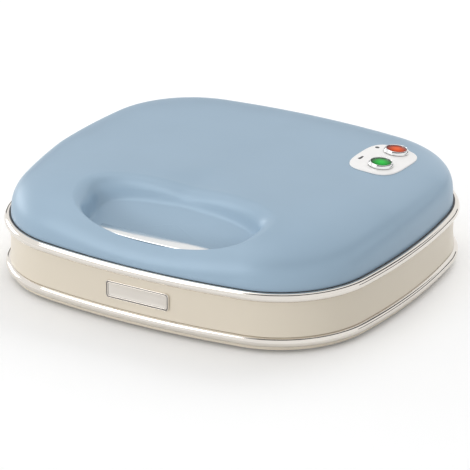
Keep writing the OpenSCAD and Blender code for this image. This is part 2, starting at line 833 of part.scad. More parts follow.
module cord_gland() {
  color("dimgray")
    translate([0, gland_seat_y + 6 - seat_gap - inlet_l, inlet_z])
      rotate([-90, 0, 0])
        difference() {
          union() {
            cylinder(r = gland_neck_r, h = inlet_l - 2);
            translate([0, 0, inlet_l - 6 + seat_gap])
              cylinder(r = gland_neck_r + 2.4, h = 2.4);
            translate([0, 0, inlet_l - 3.6 + seat_gap])
              cylinder(r1 = gland_neck_r + 1.6, r2 = gland_neck_r - 0.6, h = 3.6 - seat_gap);
            cylinder(r = gland_neck_r + 1.4, h = 2.6);
          }
          translate([0, 0, -1])
            cylinder(r = inlet_r, h = inlet_l + 2);
        }
}

// ---- Feet and the base's screws ----
foot_r = 8;
foot_plug_r = 3;
module rubber_feet() {
  color("darkgray")
    for (p = foot_spots)
      translate([p[0], p[1], 0]) {
        cylinder(r1 = foot_r - 0.8, r2 = foot_r, h = 0.8);
        translate([0, 0, 0.8])
          cylinder(r = foot_r, h = foot_h - 0.8);
        cylinder(r = foot_plug_r, h = foot_h + floor_t + 0.6);
        translate([0, 0, foot_h + floor_t + 0.05])
          cylinder(r1 = foot_plug_r + 0.8, r2 = foot_plug_r - 0.4, h = 1.6);
      }
}
module base_screws() {
  color("silver")
    for (p = post_spots)
      translate([p[0], p[1], foot_h + floor_t + head_h])
        screw(base_h - rim_h - 2 - foot_h - floor_t - head_h);
}
// Screws of one half's plate and of its reflector, heads away from the parting plane
module plate_fastenings() {
  for (p = ear_spots)
    translate([p[0], p[1], ear_h + ear_t_cast])
      mirror([0, 0, 1])
        screw(ear_h + ear_t_cast - rim_h - 1.5);
  for (p = stud_spots)
    translate([p[0], p[1], reflector_h + sheet_t])
      mirror([0, 0, 1])
        screw(sheet_t + 6);
}
module lower_plate_screws() {
  color("silver")
    lower_half()
      plate_fastenings();
}
module upper_plate_screws() {
  color("silver")
    upper_half()
      plate_fastenings();
}

// ---- Latch: a sliding bar in the well, its two hooks and the striker ----
striker_t = 1.5;
striker_h = 5.2;
striker_depth = 13;
striker_side = 9;
striker_w = 2 * (hook_x + striker_side);
striker_spots = [for (x = [-1, 1]) [x * (hook_x - 14), striker_y + 8]];
nose_z = base_h - striker_h - striker_t - seat_gap;
module latch_striker() {
  color("silver")
    lower_half()
      difference() {
        union() {
          translate([-striker_w / 2, striker_y, striker_h])
            cube([striker_w, striker_depth, striker_t]);
          translate([-striker_w / 2, striker_y + striker_depth - striker_t, striker_h])
            cube([striker_w, striker_t, 5]);
        }
        for (p = striker_spots)
          translate([p[0], p[1], striker_h - 1])
            cylinder(r = screw_clear, h = 4, $fn = 24);
      }
}
module striker_screws() {
  color("silver")
    lower_half()
      for (p = striker_spots)
        translate([p[0], p[1], striker_h + striker_t])
          mirror([0, 0, 1])
            screw(striker_h + striker_t - rim_h - 1.5);
}
slide_low_h = deck_h + 0.2;
slide_t = 1.4;
slide_top = base_h + slide_low_h + slide_t;
web_y = front_y + 22;
web_t = 2.5;
web_half = bar_half - 6;
bar_low = well_z + seat_gap;
slot_gap = 0.6;
// The bar's front edge follows the lip, and its back edge is straight
module bar_plan(inset, shift) {
  intersection() {
    translate([0, -shift])
      polygon([for (i = [0:71]) let(d = polar(1, 5 * i + 2.3))
        well_c + d * mouth_r(d, latch_travel + slot_gap + inset)]);
    translate([-bar_half + inset, -body_d / 2])
      square([2 * (bar_half - inset), bar_back_y - inset + body_d / 2]);
  }
}
// What the bar sweeps under the lip, with its gap
module bar_window() {
  translate([0, 0, bar_low - seat_gap / 2])
    linear_extrude(bar_t + seat_gap)
      bar_plan(-seat_gap, latch_travel);
}
module latch_bar() {
  color("white")
    union() {
      translate([0, 0, bar_low])
        linear_extrude(bar_t - 0.6)
          bar_plan(0, 0);
      translate([0, 0, bar_low + bar_t - 0.6])
        linear_extrude(0.6)
          bar_plan(0.6, 0);
      translate([-web_half, web_y, slide_top])
        cube([2 * web_half, web_t, bar_low - slide_top + eps]);
    }
}
module latch_slide() {
  color("silver") {
    translate([-bar_half + 2, spring_back + 0.1, base_h + slide_low_h])
      cube([2 * bar_half - 4, 6.5, slide_t]);
    for (x = [-hook_x, hook_x])
      translate([x - hook_w / 2, 0, 0])
        rotate([90, 0, 90])
          linear_extrude(hook_w)
            polygon([
              [hook_y, slide_top], [nose_y, slide_top], [nose_y, nose_z], [nose_y + 2.6, nose_z],
              [nose_y + 2.6, nose_z - 1], [nose_y, nose_z - 3.8], [hook_y, nose_z - 3.8]
            ]);
    for (x = [-spring_x, spring_x])
      translate([x - spring_r, spring_back + 0.1, base_h + spring_mid_h - spring_r])
        cube([2 * spring_r, 1, slide_top - base_h - spring_mid_h + spring_r]);
  }
}
// One open coil of wire along Y
spring_mid_h = slide_low_h + slide_t - spring_r;
wire_r = 0.22;
coil_turns = 5;
coil_steps = 10;
wire_sides = 6;
coil_r = spring_r - wire_r;
coil_l = spring_back - spring_front - 2 * wire_r;
function coil_ring(i) = let(
  t = i / (coil_turns * coil_steps),
  a = 360 * coil_turns * t
) [for (k = [0:wire_sides - 1]) let(
    w = 360 * k / wire_sides,
    r = coil_r + wire_r * cos(w)
  ) [r * cos(a), coil_l * t + wire_r + wire_r * sin(w), r * sin(a)]];
module latch_springs() {
  color("gainsboro")
    for (x = [-spring_x, spring_x])
      translate([x, spring_front, base_h + spring_mid_h])
        loft([for (i = [0:coil_turns * coil_steps]) coil_ring(i)]);
}

// ---- Hinge ----
hinge_y = body_d / 2 + hinge_back;
hinge_z = base_h + hinge_h;
knuckle_gap = 0.3;
bracket_half = knuckle_w / 2 + knuckle_gap + ear_t;
band_gap = 0.7;
web_top = hinge_z - knuckle_r - 1;
bracket_foot_z = 13;
wall_skin = body_d / 2 - wall_inset + 0.05;
module hinge_bracket() {
  difference() {
    union() {
      translate([-bracket_half, 0, 0])
        rotate([90, 0, 90])
          linear_extrude(2 * bracket_half)
            polygon([
              [wall_skin - 6, bracket_foot_z], [wall_skin + 3, bracket_foot_z],
              [hinge_y + 2, web_top - 8], [hinge_y + knuckle_r, web_top - 2],
              [hinge_y + knuckle_r, web_top], [body_d / 2 + band_gap, web_top],
              [body_d / 2 + band_gap, hollow_high - 0.6], [wall_skin - 6, hollow_high - 0.6]
            ]);
      for (side = [0, 1])
        mirror([side, 0, 0])
          translate([knuckle_w / 2 + knuckle_gap, 0, 0]) {
            translate([0, hinge_y, hinge_z])
              rotate([0, 90, 0])
                cylinder(r = knuckle_r, h = ear_t);
            translate([0, hinge_y - knuckle_r, web_top - 1])
              cube([ear_t, 2 * knuckle_r, hinge_z - web_top + 1]);
          }
    }
    translate([-bracket_half - 1, hinge_y, hinge_z])
      rotate([0, 90, 0])
        cylinder(r = pin_r + 0.02, h = 2 * bracket_half + 2);
    for (x = [-1, 1])
      translate([x * bracket_screw_x, back_wall_y - 10, bracket_screw_z])
        rotate([-90, 0, 0])
          cylinder(r = screw_r + 0.05, h = 16, $fn = 24);
  }
}
module hinge_brackets() {
  color("antiquewhite")
    difference() {
      for (side = [-1, 1])
        translate([side * hinge_x, 0, 0])
          hinge_bracket();
      translate([-front_c[0], -front_c[1], 0])
        cylinder(r = front_r - wall_inset + 0.05, h = base_h, $fn = 720);
    }
}
module hinge_pins() {
  color("silver")
    for (side = [-1, 1])
      translate([side * hinge_x - bracket_half - 0.5, hinge_y, hinge_z])
        rotate([0, 90, 0])
          cylinder(r = pin_r, h = 2 * bracket_half + 1);
}
module hinge_screws() {
  color("silver")
    for (side = [-1, 1])
      for (x = [-1, 1]) {
        px = side * hinge_x + x * bracket_screw_x;
        py = -front_c[1] + sqrt(pow(front_r - tub_inset, 2) - pow(abs(px) + head_r, 2));
        translate([px, py, bracket_screw_z])
          rotate([-90, 0, 0])
            screw(back_wall_y - py + 5);
      }
}
arm_t = 2.5;
arm_low = base_h + 0.9;
arm_top = base_h + deck_h + 0.1 + arm_t;
arm_screw_y = back_y - 19.5;
frame_back_y = body_d / 2 - lid_frame_inset;
module hinge_arms() {
  color("dimgray")
    for (side = [-1, 1])
      translate([side * hinge_x - knuckle_w / 2, 0, 0])
        difference() {
          rotate([90, 0, 90])
            linear_extrude(knuckle_w)
              difference() {
                union() {
                  polygon([
                    [arm_screw_y - 6, arm_top - arm_t], [frame_back_y + 0.6, arm_top - arm_t],
                    [frame_back_y + 0.6, arm_low], [hinge_y, arm_low],
                    [hinge_y, arm_top], [arm_screw_y - 6, arm_top]
                  ]);
                  translate([hinge_y, hinge_z])
                    circle(r = knuckle_r);
                }
                translate([hinge_y, hinge_z])
                  circle(r = pin_r + pin_fit);
              }
          translate([knuckle_w / 2, arm_screw_y, arm_top - arm_t - 1])
            cylinder(r = screw_clear, h = arm_t + 2, $fn = 24);
        }
}
module arm_screws() {
  color("silver")
    for (side = [-1, 1])
      translate([side * hinge_x, arm_screw_y, arm_top])
        mirror([0, 0, 1])
          screw(arm_t + deck_t + 0.1);
}

// ---- Lid ----
notch_half = knuckle_w / 2 + 0.4;
function lid_post_top(p) = min([for (a = [0:45:315]) outer_z(p + polar(post_r, a))]) - lid_t * 0.5;
module lid_shell() {
  color("lightsteelblue")
    difference() {
      union() {
        loft(lid_rings);
        for (p = lid_post_spots)
          translate([p[0], p[1], base_h + deck_h + 0.05])
            cylinder(r = post_r, h = lid_post_top(p) - base_h - deck_h, $fn = 32);
      }
      for (p = lid_post_spots)
        translate([p[0], p[1], base_h])
          cylinder(r = screw_r + 0.05, h = deck_h + 10, $fn = 24);
      for (x = [-hinge_x, hinge_x])
        translate([x - notch_half, body_d / 2 - 20, base_h - 1])
          cube([2 * notch_half, 20, arm_top + 0.4 - base_h + 1]);
      translate([-web_half - slot_gap, web_y - latch_travel - slot_gap, well_z - lid_t - 1])
        cube([2 * (web_half + slot_gap), web_t + latch_travel + 2 * slot_gap, lid_t + 1 + seat_gap * 0.5]);
      bar_window();
      for (i = [0, 1])
        at_lamp(i)
          translate([0, 0, -8])
            cylinder(r = holder_r + 0.1, h = 12, $fn = 32);
    }
}
module lid_screws() {
  color("silver")
    for (p = lid_post_spots)
      translate([p[0], p[1], base_h + rim_h])
        screw(deck_t + 8);
}

// ---- Indicator panel and lamps ----
lamp_spots = [for (i = [-1, 1]) [panel_x + 2.8 - i * lamp_lean, panel_y + 1.2 + i * lamp_gap / 2]];
panel_power = 3.2;
panel_steps = 40;
function squircle(a) = pow(pow(abs(cos(a)), panel_power) + pow(abs(sin(a)), panel_power), -1 / panel_power);
function panel_ring(s, lift) = [
  for (i = [0:panel_steps - 1]) let(
    a = 360 * i / panel_steps,
    r = squircle(a) * s,
    p = [panel_x + r * cos(a) * panel_w / 2, panel_y + r * sin(a) * panel_d / 2]
  ) [p[0], p[1], outer_z(p) + lift]
];
// Slope of the lid under a lamp
probe = 4;
function slope_x(p) = (outer_z(p + [probe, 0]) - outer_z(p - [probe, 0])) / (2 * probe);
function slope_y(p) = (outer_z(p + [0, probe]) - outer_z(p - [0, probe])) / (2 * probe);
module at_lamp(i) {
  p = lamp_spots[i];
  translate([p[0], p[1], outer_z(p) + 0.1 + panel_t])
    rotate([atan(slope_y(p)), -atan(slope_x(p)), 0])
      children();
}
bezel_h = 2;
holder_r = lens_r + 0.5;
module indicator_panel() {
  color("gainsboro")
    difference() {
      loft(concat(
        [panel_ring(0.35, panel_t + 0.1), panel_ring(0.75, panel_t + 0.1), panel_ring(0.97, panel_t + 0.1)],
        [panel_ring(1, panel_t - 0.1), panel_ring(1, 0.1), panel_ring(0.75, 0.1), panel_ring(0.35, 0.1)]
      ));
      for (i = [0, 1])
        at_lamp(i)
          translate([0, 0, -8])
            cylinder(r = holder_r + 0.1, h = 12, $fn = 32);
    }
}
module lamp_bezels() {
  color("silver")
    for (i = [0, 1])
      at_lamp(i)
        translate([0, 0, seat_gap])
          rotate_extrude()
            polygon([
              [lens_r + 0.1, 0], [bezel_r, 0], [bezel_r, 0.6], [bezel_r - 0.5, 1.6],
              [bezel_r - 1.2, bezel_h], [lens_r + 0.5, bezel_h], [lens_r + 0.1, bezel_h - 0.5]
            ]);
}
module lens(i) {
  at_lamp(i)
    rotate_extrude()
      polygon([
        [0, -5], [lens_r, -5], [lens_r, bezel_h - 0.3], [lens_r * 0.86, bezel_h + 0.2],
        [lens_r * 0.5, bezel_h + 0.5], [0, bezel_h + 0.6]
      ]);
}
module ready_lens() {
  color("limegreen")
    lens(0);
}
module power_lens() {
  color("orangered")
    lens(1);
}
module lamp_holders() {
  color("dimgray")
    for (i = [0, 1])
      at_lamp(i)
        difference() {
          union() {
            translate([0, 0, -14])
              cylinder(r = holder_r, h = 14, $fn = 32);
            translate([0, 0, -14])
              cylinder(r = holder_r + 2, h = 7.5, $fn = 32);
          }
          translate([0, 0, -5.05])
            cylinder(r = lens_r + 0.05, h = 6, $fn = 32);
          translate([0, 0, -12])
            cylinder(r = 3, h = 8, $fn = 24);
        }
}

base_shell();
lower_band();
upper_band();
name_plate();
base_frame();
lower_plate();
lower_element();
lower_reflector();
thermostat();
thermal_fuse();
terminal_block();
cord_gland();
rubber_feet();
base_screws();
lower_plate_screws();
latch_striker();
striker_screws();
hinge_brackets();
hinge_pins();
hinge_screws();
lid_shell();
lid_frame();
upper_plate();
upper_element();
upper_reflector();
upper_thermostat();
indicator_panel();
lamp_bezels();
ready_lens();
power_lens();
lamp_holders();
lid_screws();
upper_plate_screws();
hinge_arms();
arm_screws();
latch_springs();
latch_bar();
latch_slide();
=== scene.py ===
import math
import bmesh
import bpy
import numpy as np
from mathutils import Matrix, Vector


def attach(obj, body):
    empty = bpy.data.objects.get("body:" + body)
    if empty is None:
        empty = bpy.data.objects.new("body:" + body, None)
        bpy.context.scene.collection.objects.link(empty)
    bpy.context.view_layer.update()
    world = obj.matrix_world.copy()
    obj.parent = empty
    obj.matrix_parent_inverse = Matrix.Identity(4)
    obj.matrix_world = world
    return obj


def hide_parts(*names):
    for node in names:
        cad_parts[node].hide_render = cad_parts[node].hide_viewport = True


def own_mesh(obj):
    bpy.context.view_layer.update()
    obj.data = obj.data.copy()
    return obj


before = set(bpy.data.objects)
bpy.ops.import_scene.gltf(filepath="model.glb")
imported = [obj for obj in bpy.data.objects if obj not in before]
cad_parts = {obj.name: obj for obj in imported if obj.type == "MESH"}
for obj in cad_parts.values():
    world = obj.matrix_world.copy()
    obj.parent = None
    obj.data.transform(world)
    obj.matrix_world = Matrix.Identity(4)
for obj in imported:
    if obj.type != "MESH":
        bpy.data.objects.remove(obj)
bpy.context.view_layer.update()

# ------------------------------------------------------------
# The camera stands in front of the toaster's right corner, a long way off, and
# looks down on it, with the lens axis in the middle of its picture.
# ------------------------------------------------------------
view_az, view_el, view_distance = 0.52957, 0.409884, 2.39125
picture_px, focal_px, sensor_mm = 470.0, 4000.0, 36.0
view_back = Vector((math.sin(view_az) * math.cos(view_el), -math.cos(view_az) * math.cos(view_el),
                    math.sin(view_el)))
view_right = Vector((math.cos(view_az), math.sin(view_az), 0.0))
view_up = view_back.cross(view_right)
view_aim = Vector((0, 0, 0.0413)) + view_right * 0.0013138 + view_up * -0.0209429


def linked(name, data):
    """A new object in the scene."""
    obj = bpy.data.objects.new(name, data)
    bpy.context.scene.collection.objects.link(obj)
    return obj


camera_data = bpy.data.cameras.new("toaster_camera")
camera_data.sensor_fit = "HORIZONTAL"
camera_data.sensor_width = sensor_mm
camera_data.lens = sensor_mm * focal_px / picture_px
camera_data.clip_start, camera_data.clip_end = 0.05, 60.0
camera = linked("toaster_camera", camera_data)
camera.matrix_world = Matrix((view_right, view_up, view_back)).transposed().to_4x4()
camera.location = view_aim + view_back * view_distance
bpy.context.scene.camera = camera

# ------------------------------------------------------------
# The lid: one pressed shell in satin light blue. It rises gently from the front,
# is square-shouldered at the back, and has a finger well with a crisp lip in
# front and a soft rim behind. All its rings share one set of rays.
# ------------------------------------------------------------
HALF_W, HALF_D = 125.0, 112.5
LID_Z, LID_RISE, LID_INSET, LID_WALL = 38.0, 30.5, 4.2, 2.4
CREST = np.array([0.0, -10.0])
FRONT_R, SIDE_R, CORNER_R = 462.0, 378.0, 64.0
FRONT_C = np.array([0.0, FRONT_R - HALF_D])
SIDE_C = np.array([HALF_W - SIDE_R, 0.0])


def corner_centre():
    """Centre of the front right corner's arc, tangent inside the front and side arcs."""
    gap = np.linalg.norm(SIDE_C - FRONT_C)
    along = ((FRONT_R - CORNER_R) ** 2 - (SIDE_R - CORNER_R) ** 2 + gap ** 2) / (2 * gap)
    aside = math.sqrt((FRONT_R - CORNER_R) ** 2 - along ** 2)
    unit = (SIDE_C - FRONT_C) / gap
    return FRONT_C + along * unit + aside * np.array([-unit[1], unit[0]])


CORNER_C = corner_centre()
FRONT_A = math.atan2(*(CORNER_C - FRONT_C)[::-1])
SIDE_A = math.atan2(*(CORNER_C - SIDE_C)[::-1])


def outline(inset, fine=5):
    """The body's plan outline, drawn in by inset, counter-clockwise from the left front corner's end."""
    (cx, cy), f, s = CORNER_C, FRONT_A, SIDE_A
    arcs = [(0, FRONT_C[1], FRONT_R, -math.pi - f, math.pi + 2 * f, 16), (cx, cy, CORNER_R, f, s - f, 12),
            (SIDE_C[0], 0, SIDE_R, s, -2 * s, 10), (cx, -cy, CORNER_R, -s, s - f, 9),
            (0, -FRONT_C[1], FRONT_R, -f, math.pi + 2 * f, 12),
            (-cx, -cy, CORNER_R, math.pi + f, s - f, 9),
            (-SIDE_C[0], 0, SIDE_R, math.pi + s, -2 * s, 10),
            (-cx, cy, CORNER_R, math.pi - s, s - f, 12)]
    points = []
    for x, y, r, start, sweep, steps in arcs:
        a = start + sweep * np.arange(steps * fine) / (steps * fine)
        points.append(np.column_stack([x + (r - inset) * np.cos(a), y + (r - inset) * np.sin(a)]))
    return np.vstack(points)


def reach(p, d, inset):
    """Distance from p to the outline along each unit vector in d."""
    def chord(c, r):
        m = p - c
        b = (m * d).sum(-1)
        return -b + np.sqrt(np.maximum(b * b - (m * m).sum(-1) + r * r, 0))
    far = np.minimum.reduce([chord(FRONT_C, FRONT_R - inset), chord(-FRONT_C, FRONT_R - inset),
                             chord(SIDE_C, SIDE_R - inset), chord(-SIDE_C, SIDE_R - inset)])
    hit = p + d * far[:, None]
    v = np.column_stack([np.abs(hit[:, 0]), -np.abs(hit[:, 1])]) - CORNER_C
    a = np.arctan2(v[:, 1], v[:, 0])
    c = np.column_stack([CORNER_C[0] * np.sign(hit[:, 0]), -CORNER_C[1] * np.sign(hit[:, 1])])
    return np.where((a > FRONT_A) & (a < SIDE_A), chord(c, CORNER_R - inset), far)


SHOULDER_RUN, SLOPE_RUN = 5, 1.7
SHOULDER_LIFT, SLOPE_LIFT = 4.1, 1.85


def swell(s, d):
    """Share of the lid's rise at share s of the way out along d: square to the back, sloping to the front."""
    w = np.maximum(0, -d[:, 1])
    run = SHOULDER_RUN + (SLOPE_RUN - SHOULDER_RUN) * w
    lift = SHOULDER_LIFT + (SLOPE_LIFT - SHOULDER_LIFT) * w
    return np.maximum(0, 1 - s ** run) ** (1 / lift)


def lid_height(p, inset=LID_INSET, rise=LID_RISE):
    """Height of the lid's skin over the plan points p."""
    v = np.atleast_2d(p) - CREST
    length = np.maximum(np.linalg.norm(v, axis=1), 1e-6)
    d = v / length[:, None]
    return LID_Z + rise * swell(np.minimum(1, length / reach(CREST, d, inset)), d)


def lid_ring(inset, rise, s):
    """A ring on the lid's skin at share s of the way from the crest to the outline."""
    v = outline(inset) - CREST
    d = v / np.linalg.norm(v, axis=1)[:, None]
    return np.column_stack([CREST + v * s, LID_Z + rise * swell(np.full(len(v), s), d)])


WELL_C = np.array([0.0, -66.0])
WELL_W, WELL_FRONT, WELL_BACK, WELL_Z = 132.0, 31.8, 24.0, 46.0
LIP_POWER, BACK_POWER = 2.5, 2.3
SCOOP_Y, SCOOP_END_Y, SCOOP_CLIMB = -85.6, -50.0, 14.0
LIP_R, RIM_R, RIM_TURN = 1.2, 11.0, math.radians(75)
RIM_DIP, FOOT_BEND, FOOT_RUN = 3.0, 9.0, 6.0


def mouth(d, shrink):
    """Distance from the well's middle to its mouth, drawn in by shrink."""
    front = d[:, 1] < 0
    power = np.where(front, LIP_POWER, BACK_POWER)
    rx, ry = WELL_W / 2 - shrink, np.where(front, WELL_FRONT, WELL_BACK) - shrink
    return ((np.abs(d[:, 0]) / rx) ** power + (np.abs(d[:, 1]) / ry) ** power) ** (-1 / power)


ray = outline(LID_INSET) - WELL_C
ray = ray / np.linalg.norm(ray, axis=1)[:, None]


def at_ray(shrink):
    """Where each of the lid's rays meets the mouth, drawn in by shrink."""
    return WELL_C + ray * mouth(ray, shrink)[:, None]


def joined(plan, z):
    return np.column_stack([plan, np.broadcast_to(z, len(plan))])


def floor_height(y):
    """The well's floor: level under the bar, climbing ever steeper to the back."""
    return WELL_Z + SCOOP_CLIMB / (SCOOP_END_Y - SCOOP_Y) ** 2 * np.maximum(0, y - SCOOP_Y) ** 2


def well_rings(fine):
    """Rings from the floor's middle out to the mouth, and the values that the underside needs."""
    mouth_z = lid_height(at_ray(0))
    behind = np.clip((at_ray(0)[:, 1] - WELL_C[1] + WELL_FRONT - 6) / 20, 0, 1)
    rim = LIP_R + (RIM_R - LIP_R) * behind ** 2 * (3 - 2 * behind)
    rim_in = rim * math.sin(RIM_TURN)

    def wall_z(t):
        arc = rim - np.sqrt(np.maximum(rim ** 2 - np.minimum(t, rim_in) ** 2, 0))
        return mouth_z - arc - np.maximum(0, t - rim_in) * math.tan(RIM_TURN)
    rim_low = wall_z(rim_in)
    foot = rim_in + np.maximum(0.3, rim_low - floor_height(at_ray(rim_in)[:, 1])) / math.tan(RIM_TURN)

    def ring(t, share=1.0):
        """At t in from the mouth; the floor dips under the back rim and meets the wall in a soft bend."""
        plan = WELL_C + (at_ray(t) - WELL_C) * share
        inward = np.clip(t / RIM_R, 0, 1)
        low, high = floor_height(plan[:, 1]) - RIM_DIP * behind * (1 - inward), wall_z(t)
        near = np.maximum(0, FOOT_BEND - np.abs(low - high)) * inward ** 1.5 * (0.5 + 0.5 * behind)
        return joined(plan, np.maximum(low, high) + near ** 2 / (4 * FOOT_BEND))
    rings = [ring(foot + FOOT_RUN, g) for g in np.linspace(0.04, 1, 3 * fine)[:-1]]
    rings += [ring(foot + t) for t in np.linspace(FOOT_RUN, 0, 2 * fine)]
    rings += [ring(foot + (rim_in - foot) * t) for t in np.linspace(0, 1, fine)[1:-1]]
    rings += [ring(rim * math.sin(a)) for a in np.linspace(RIM_TURN, 0, 3 * fine)[:-1]]
    return rings + [joined(at_ray(0), mouth_z)], rim_in, rim_low, foot


def lid_rings():
    """The lid's whole skin: out over the well and the dome, round the edge and back underneath."""
    rings, rim_in, rim_low, foot = well_rings(6)
    crown_share = 0.95
    crown = lid_ring(LID_INSET, LID_RISE, crown_share)[:, :2]
    for t in np.linspace(1, 0, 60)[1:-1] ** 1.7:
        plan = crown + (at_ray(0) - crown) * t
        rings.append(joined(plan, lid_height(plan)))
    for s in 1 - (1 - crown_share) * np.linspace(1, 0, 24) ** 2.6:
        rings.append(lid_ring(LID_INSET, LID_RISE, s))
    rings[-1][:, 2] = LID_Z + 0.35
    for inset, z in ((LID_INSET + 0.1, 0.12), (LID_INSET + 0.35, 0), (LID_INSET + LID_WALL - 0.1, 0)):
        rings.append(joined(outline(inset), LID_Z + z))
    for s in (1, 0.998, 0.99, 0.975, crown_share):
        rings.append(lid_ring(LID_INSET + LID_WALL, LID_RISE - LID_WALL, s))
    rings[-5][:, 2] = LID_Z + 0.2
    inner = rings[-1][:, :2]
    for t in (0.08, 0.2, 0.4, 0.6, 0.8, 1):
        plan = inner + (at_ray(-LID_WALL) - inner) * t
        rings.append(joined(plan, lid_height(plan, LID_INSET + LID_WALL, LID_RISE - LID_WALL)))
    under = np.minimum(rings[-1][:, 2], rim_low - 0.5)
    plan = at_ray(rim_in - LID_WALL)
    rings.append(joined(plan, np.maximum(floor_height(plan[:, 1]) - LID_WALL + 0.6, under)))
    middle = foot + FOOT_RUN
    for t, share in ((foot - LID_WALL * 0.6, 1), (middle, 1), (middle, 0.7), (middle, 0.4), (middle, 0.1)):
        plan = WELL_C + (at_ray(t) - WELL_C) * share
        rings.append(joined(plan, floor_height(plan[:, 1]) - LID_WALL))
    return rings


def smoothed(obj, angle):
    """Shades the object smooth, but for edges sharper than the angle."""
    obj.data.shade_smooth()
    obj.data.set_sharp_from_angle(angle=math.radians(angle))
    return obj


def put(name, verts, faces, smooth=40):
    """A mesh object from points in millimetres."""
    mesh = bpy.data.meshes.new(name)
    mesh.from_pydata([tuple(v) for v in np.asarray(verts, float) * 0.001], [], faces)
    mesh.validate()
    return smoothed(linked(name, mesh), smooth)


def skin(rings, closed=False):
    """Points and faces through equal rings; fans close the ends, or the last ring joins the first."""
    m, n = len(rings), len(rings[0])
    verts = np.vstack(rings)
    faces = [(i * n + j, (i + 1) % m * n + j, (i + 1) % m * n + (j + 1) % n, i * n + (j + 1) % n)
             for i in range(m if closed else m - 1) for j in range(n)]
    if not closed:
        verts = np.vstack([verts, rings[0].mean(0), rings[-1].mean(0)])
        faces += [(m * n, j, (j + 1) % n) for j in range(n)]
        faces += [(m * n + 1, (m - 1) * n + (j + 1) % n, (m - 1) * n + j) for j in range(n)]
    return verts, faces


def hoop(name, line, fine=5, smooth=50):
    """A closed hoop round the body, from its [inset, height] section, in order from its outer foot."""
    rings = [joined(outline(inset, fine), z) for inset, z in line[::-1]]
    return put(name, *skin(rings, closed=True), smooth=smooth)


def prism(name, plan, low, high):
    """A plain solid over a counter-clockwise plan, used to cut or to fill."""
    n = len(plan)
    verts = np.vstack([joined(np.asarray(plan, float), low), joined(np.asarray(plan, float), high)])
    faces = [tuple(range(n))[::-1], tuple(range(n, 2 * n))]
    faces += [(i, (i + 1) % n, n + (i + 1) % n, n + i) for i in range(n)]
    return put(name, verts, faces)


def box_plan(x0, y0, x1, y1):
    return [(x0, y0), (x1, y0), (x1, y1), (x0, y1)]


def round_plan(x, y, r, steps=48):
    a = np.arange(steps) * 2 * math.pi / steps
    return np.column_stack([x + r * np.cos(a), y + r * np.sin(a)])


def carve(obj, tools, operation="DIFFERENCE"):
    """Cuts or joins the tools, then throws them away. What other modifiers do is kept as plain mesh."""
    for tool in tools:
        mod = obj.modifiers.new("carve", "BOOLEAN")
        mod.operation, mod.solver, mod.object = operation, "MANIFOLD", tool
    bpy.context.view_layer.update()
    mesh = bpy.data.meshes.new_from_object(obj.evaluated_get(bpy.context.evaluated_depsgraph_get()))
    obj.modifiers.clear()
    old, obj.data = obj.data, mesh
    bpy.data.meshes.remove(old)
    for tool in tools:
        bpy.data.objects.remove(tool)
    return obj


def lip_y(x, shrink):
    """Front edge of the well's mouth, drawn in by shrink."""
    t = np.clip(np.abs(x) / (WELL_W / 2 - shrink), 0, 1)
    return WELL_C[1] - (WELL_FRONT - shrink) * (1 - t ** LIP_POWER) ** (1 / LIP_POWER)


LAMPS = [(80.6, 36.2), (78.0, 60.2)]
PANEL_LIFT = 0.9


def lamp_frame(p, lift):
    """Where a lamp stands: over p on the panel, square to it, lifted along its axis."""
    def skin_z(dx, dy):
        return float(lid_height(np.array(p) + [dx, dy])[0])
    span = 4
    slope_x = (skin_z(span, 0) - skin_z(-span, 0)) / (2 * span)
    slope_y = (skin_z(0, span) - skin_z(0, -span)) / (2 * span)
    turn = Matrix.Rotation(-math.atan(slope_x), 4, "Y") @ Matrix.Rotation(math.atan(slope_y), 4, "X")
    foot = Matrix.Translation((p[0], p[1], skin_z(0, 0) + PANEL_LIFT))
    return foot @ turn @ Matrix.Translation((0, 0, lift))


def at_lamp(p, lift, profile, steps, closed=False):
    """Points and faces of a shape turned from its [radius, height] outline, standing at lamp p."""
    a = np.arange(steps) * 2 * math.pi / steps
    rings = [np.column_stack([r * np.cos(a), r * np.sin(a), np.full(steps, z)]) for r, z in profile]
    verts, faces = skin(rings, closed)
    stand = lamp_frame(p, lift)
    return np.array([stand @ Vector(v) for v in verts]), faces


def toned(tree, stops):
    """A colour ramp through [position, colour] stops."""
    ramp = tree.nodes.new("ShaderNodeValToRGB")
    for position, _ in stops[1:-1]:
        ramp.color_ramp.elements.new(position)
    for element, (position, colour) in zip(ramp.color_ramp.elements, stops):
        element.position, element.color = position, (*colour, 1)
    return ramp


def grain(name, colour, rough, metal=0.0, patch=0.04, patch_size=60.0, bump=0.1, bump_size=2500.0,
          rough_swing=0.05, ior=1.45):
    """A finish with slow patches of tone, a fine surface grain and a little change in gloss."""
    mat = bpy.data.materials.new(name)
    mat.use_nodes = True
    tree = mat.node_tree
    add, link = tree.nodes.new, tree.links.new
    shader = tree.nodes["Principled BSDF"]
    shader.inputs["Metallic"].default_value = metal
    shader.inputs["IOR"].default_value = ior
    place = add("ShaderNodeTexCoord")

    def noise(size, detail):
        node = add("ShaderNodeTexNoise")
        node.inputs["Scale"].default_value = size
        node.inputs["Detail"].default_value = detail
        link(place.outputs["Object"], node.inputs["Vector"])
        return node.outputs["Fac"]
    ramp = toned(tree, [(0.3, [c * (1 - patch) for c in colour]), (0.7, [c * (1 + patch) for c in colour])])
    link(noise(patch_size, 3), ramp.inputs["Fac"])
    link(ramp.outputs["Color"], shader.inputs["Base Color"])
    spread = add("ShaderNodeMapRange")
    spread.inputs["To Min"].default_value = rough - rough_swing
    spread.inputs["To Max"].default_value = rough + rough_swing
    link(noise(patch_size * 2.3, 4), spread.inputs["Value"])
    link(spread.outputs["Result"], shader.inputs["Roughness"])
    relief = add("ShaderNodeBump")
    relief.inputs["Strength"].default_value = bump
    relief.inputs["Distance"].default_value = 0.0002
    link(noise(bump_size, 2), relief.inputs["Height"])
    link(relief.outputs["Normal"], shader.inputs["Normal"])
    return mat


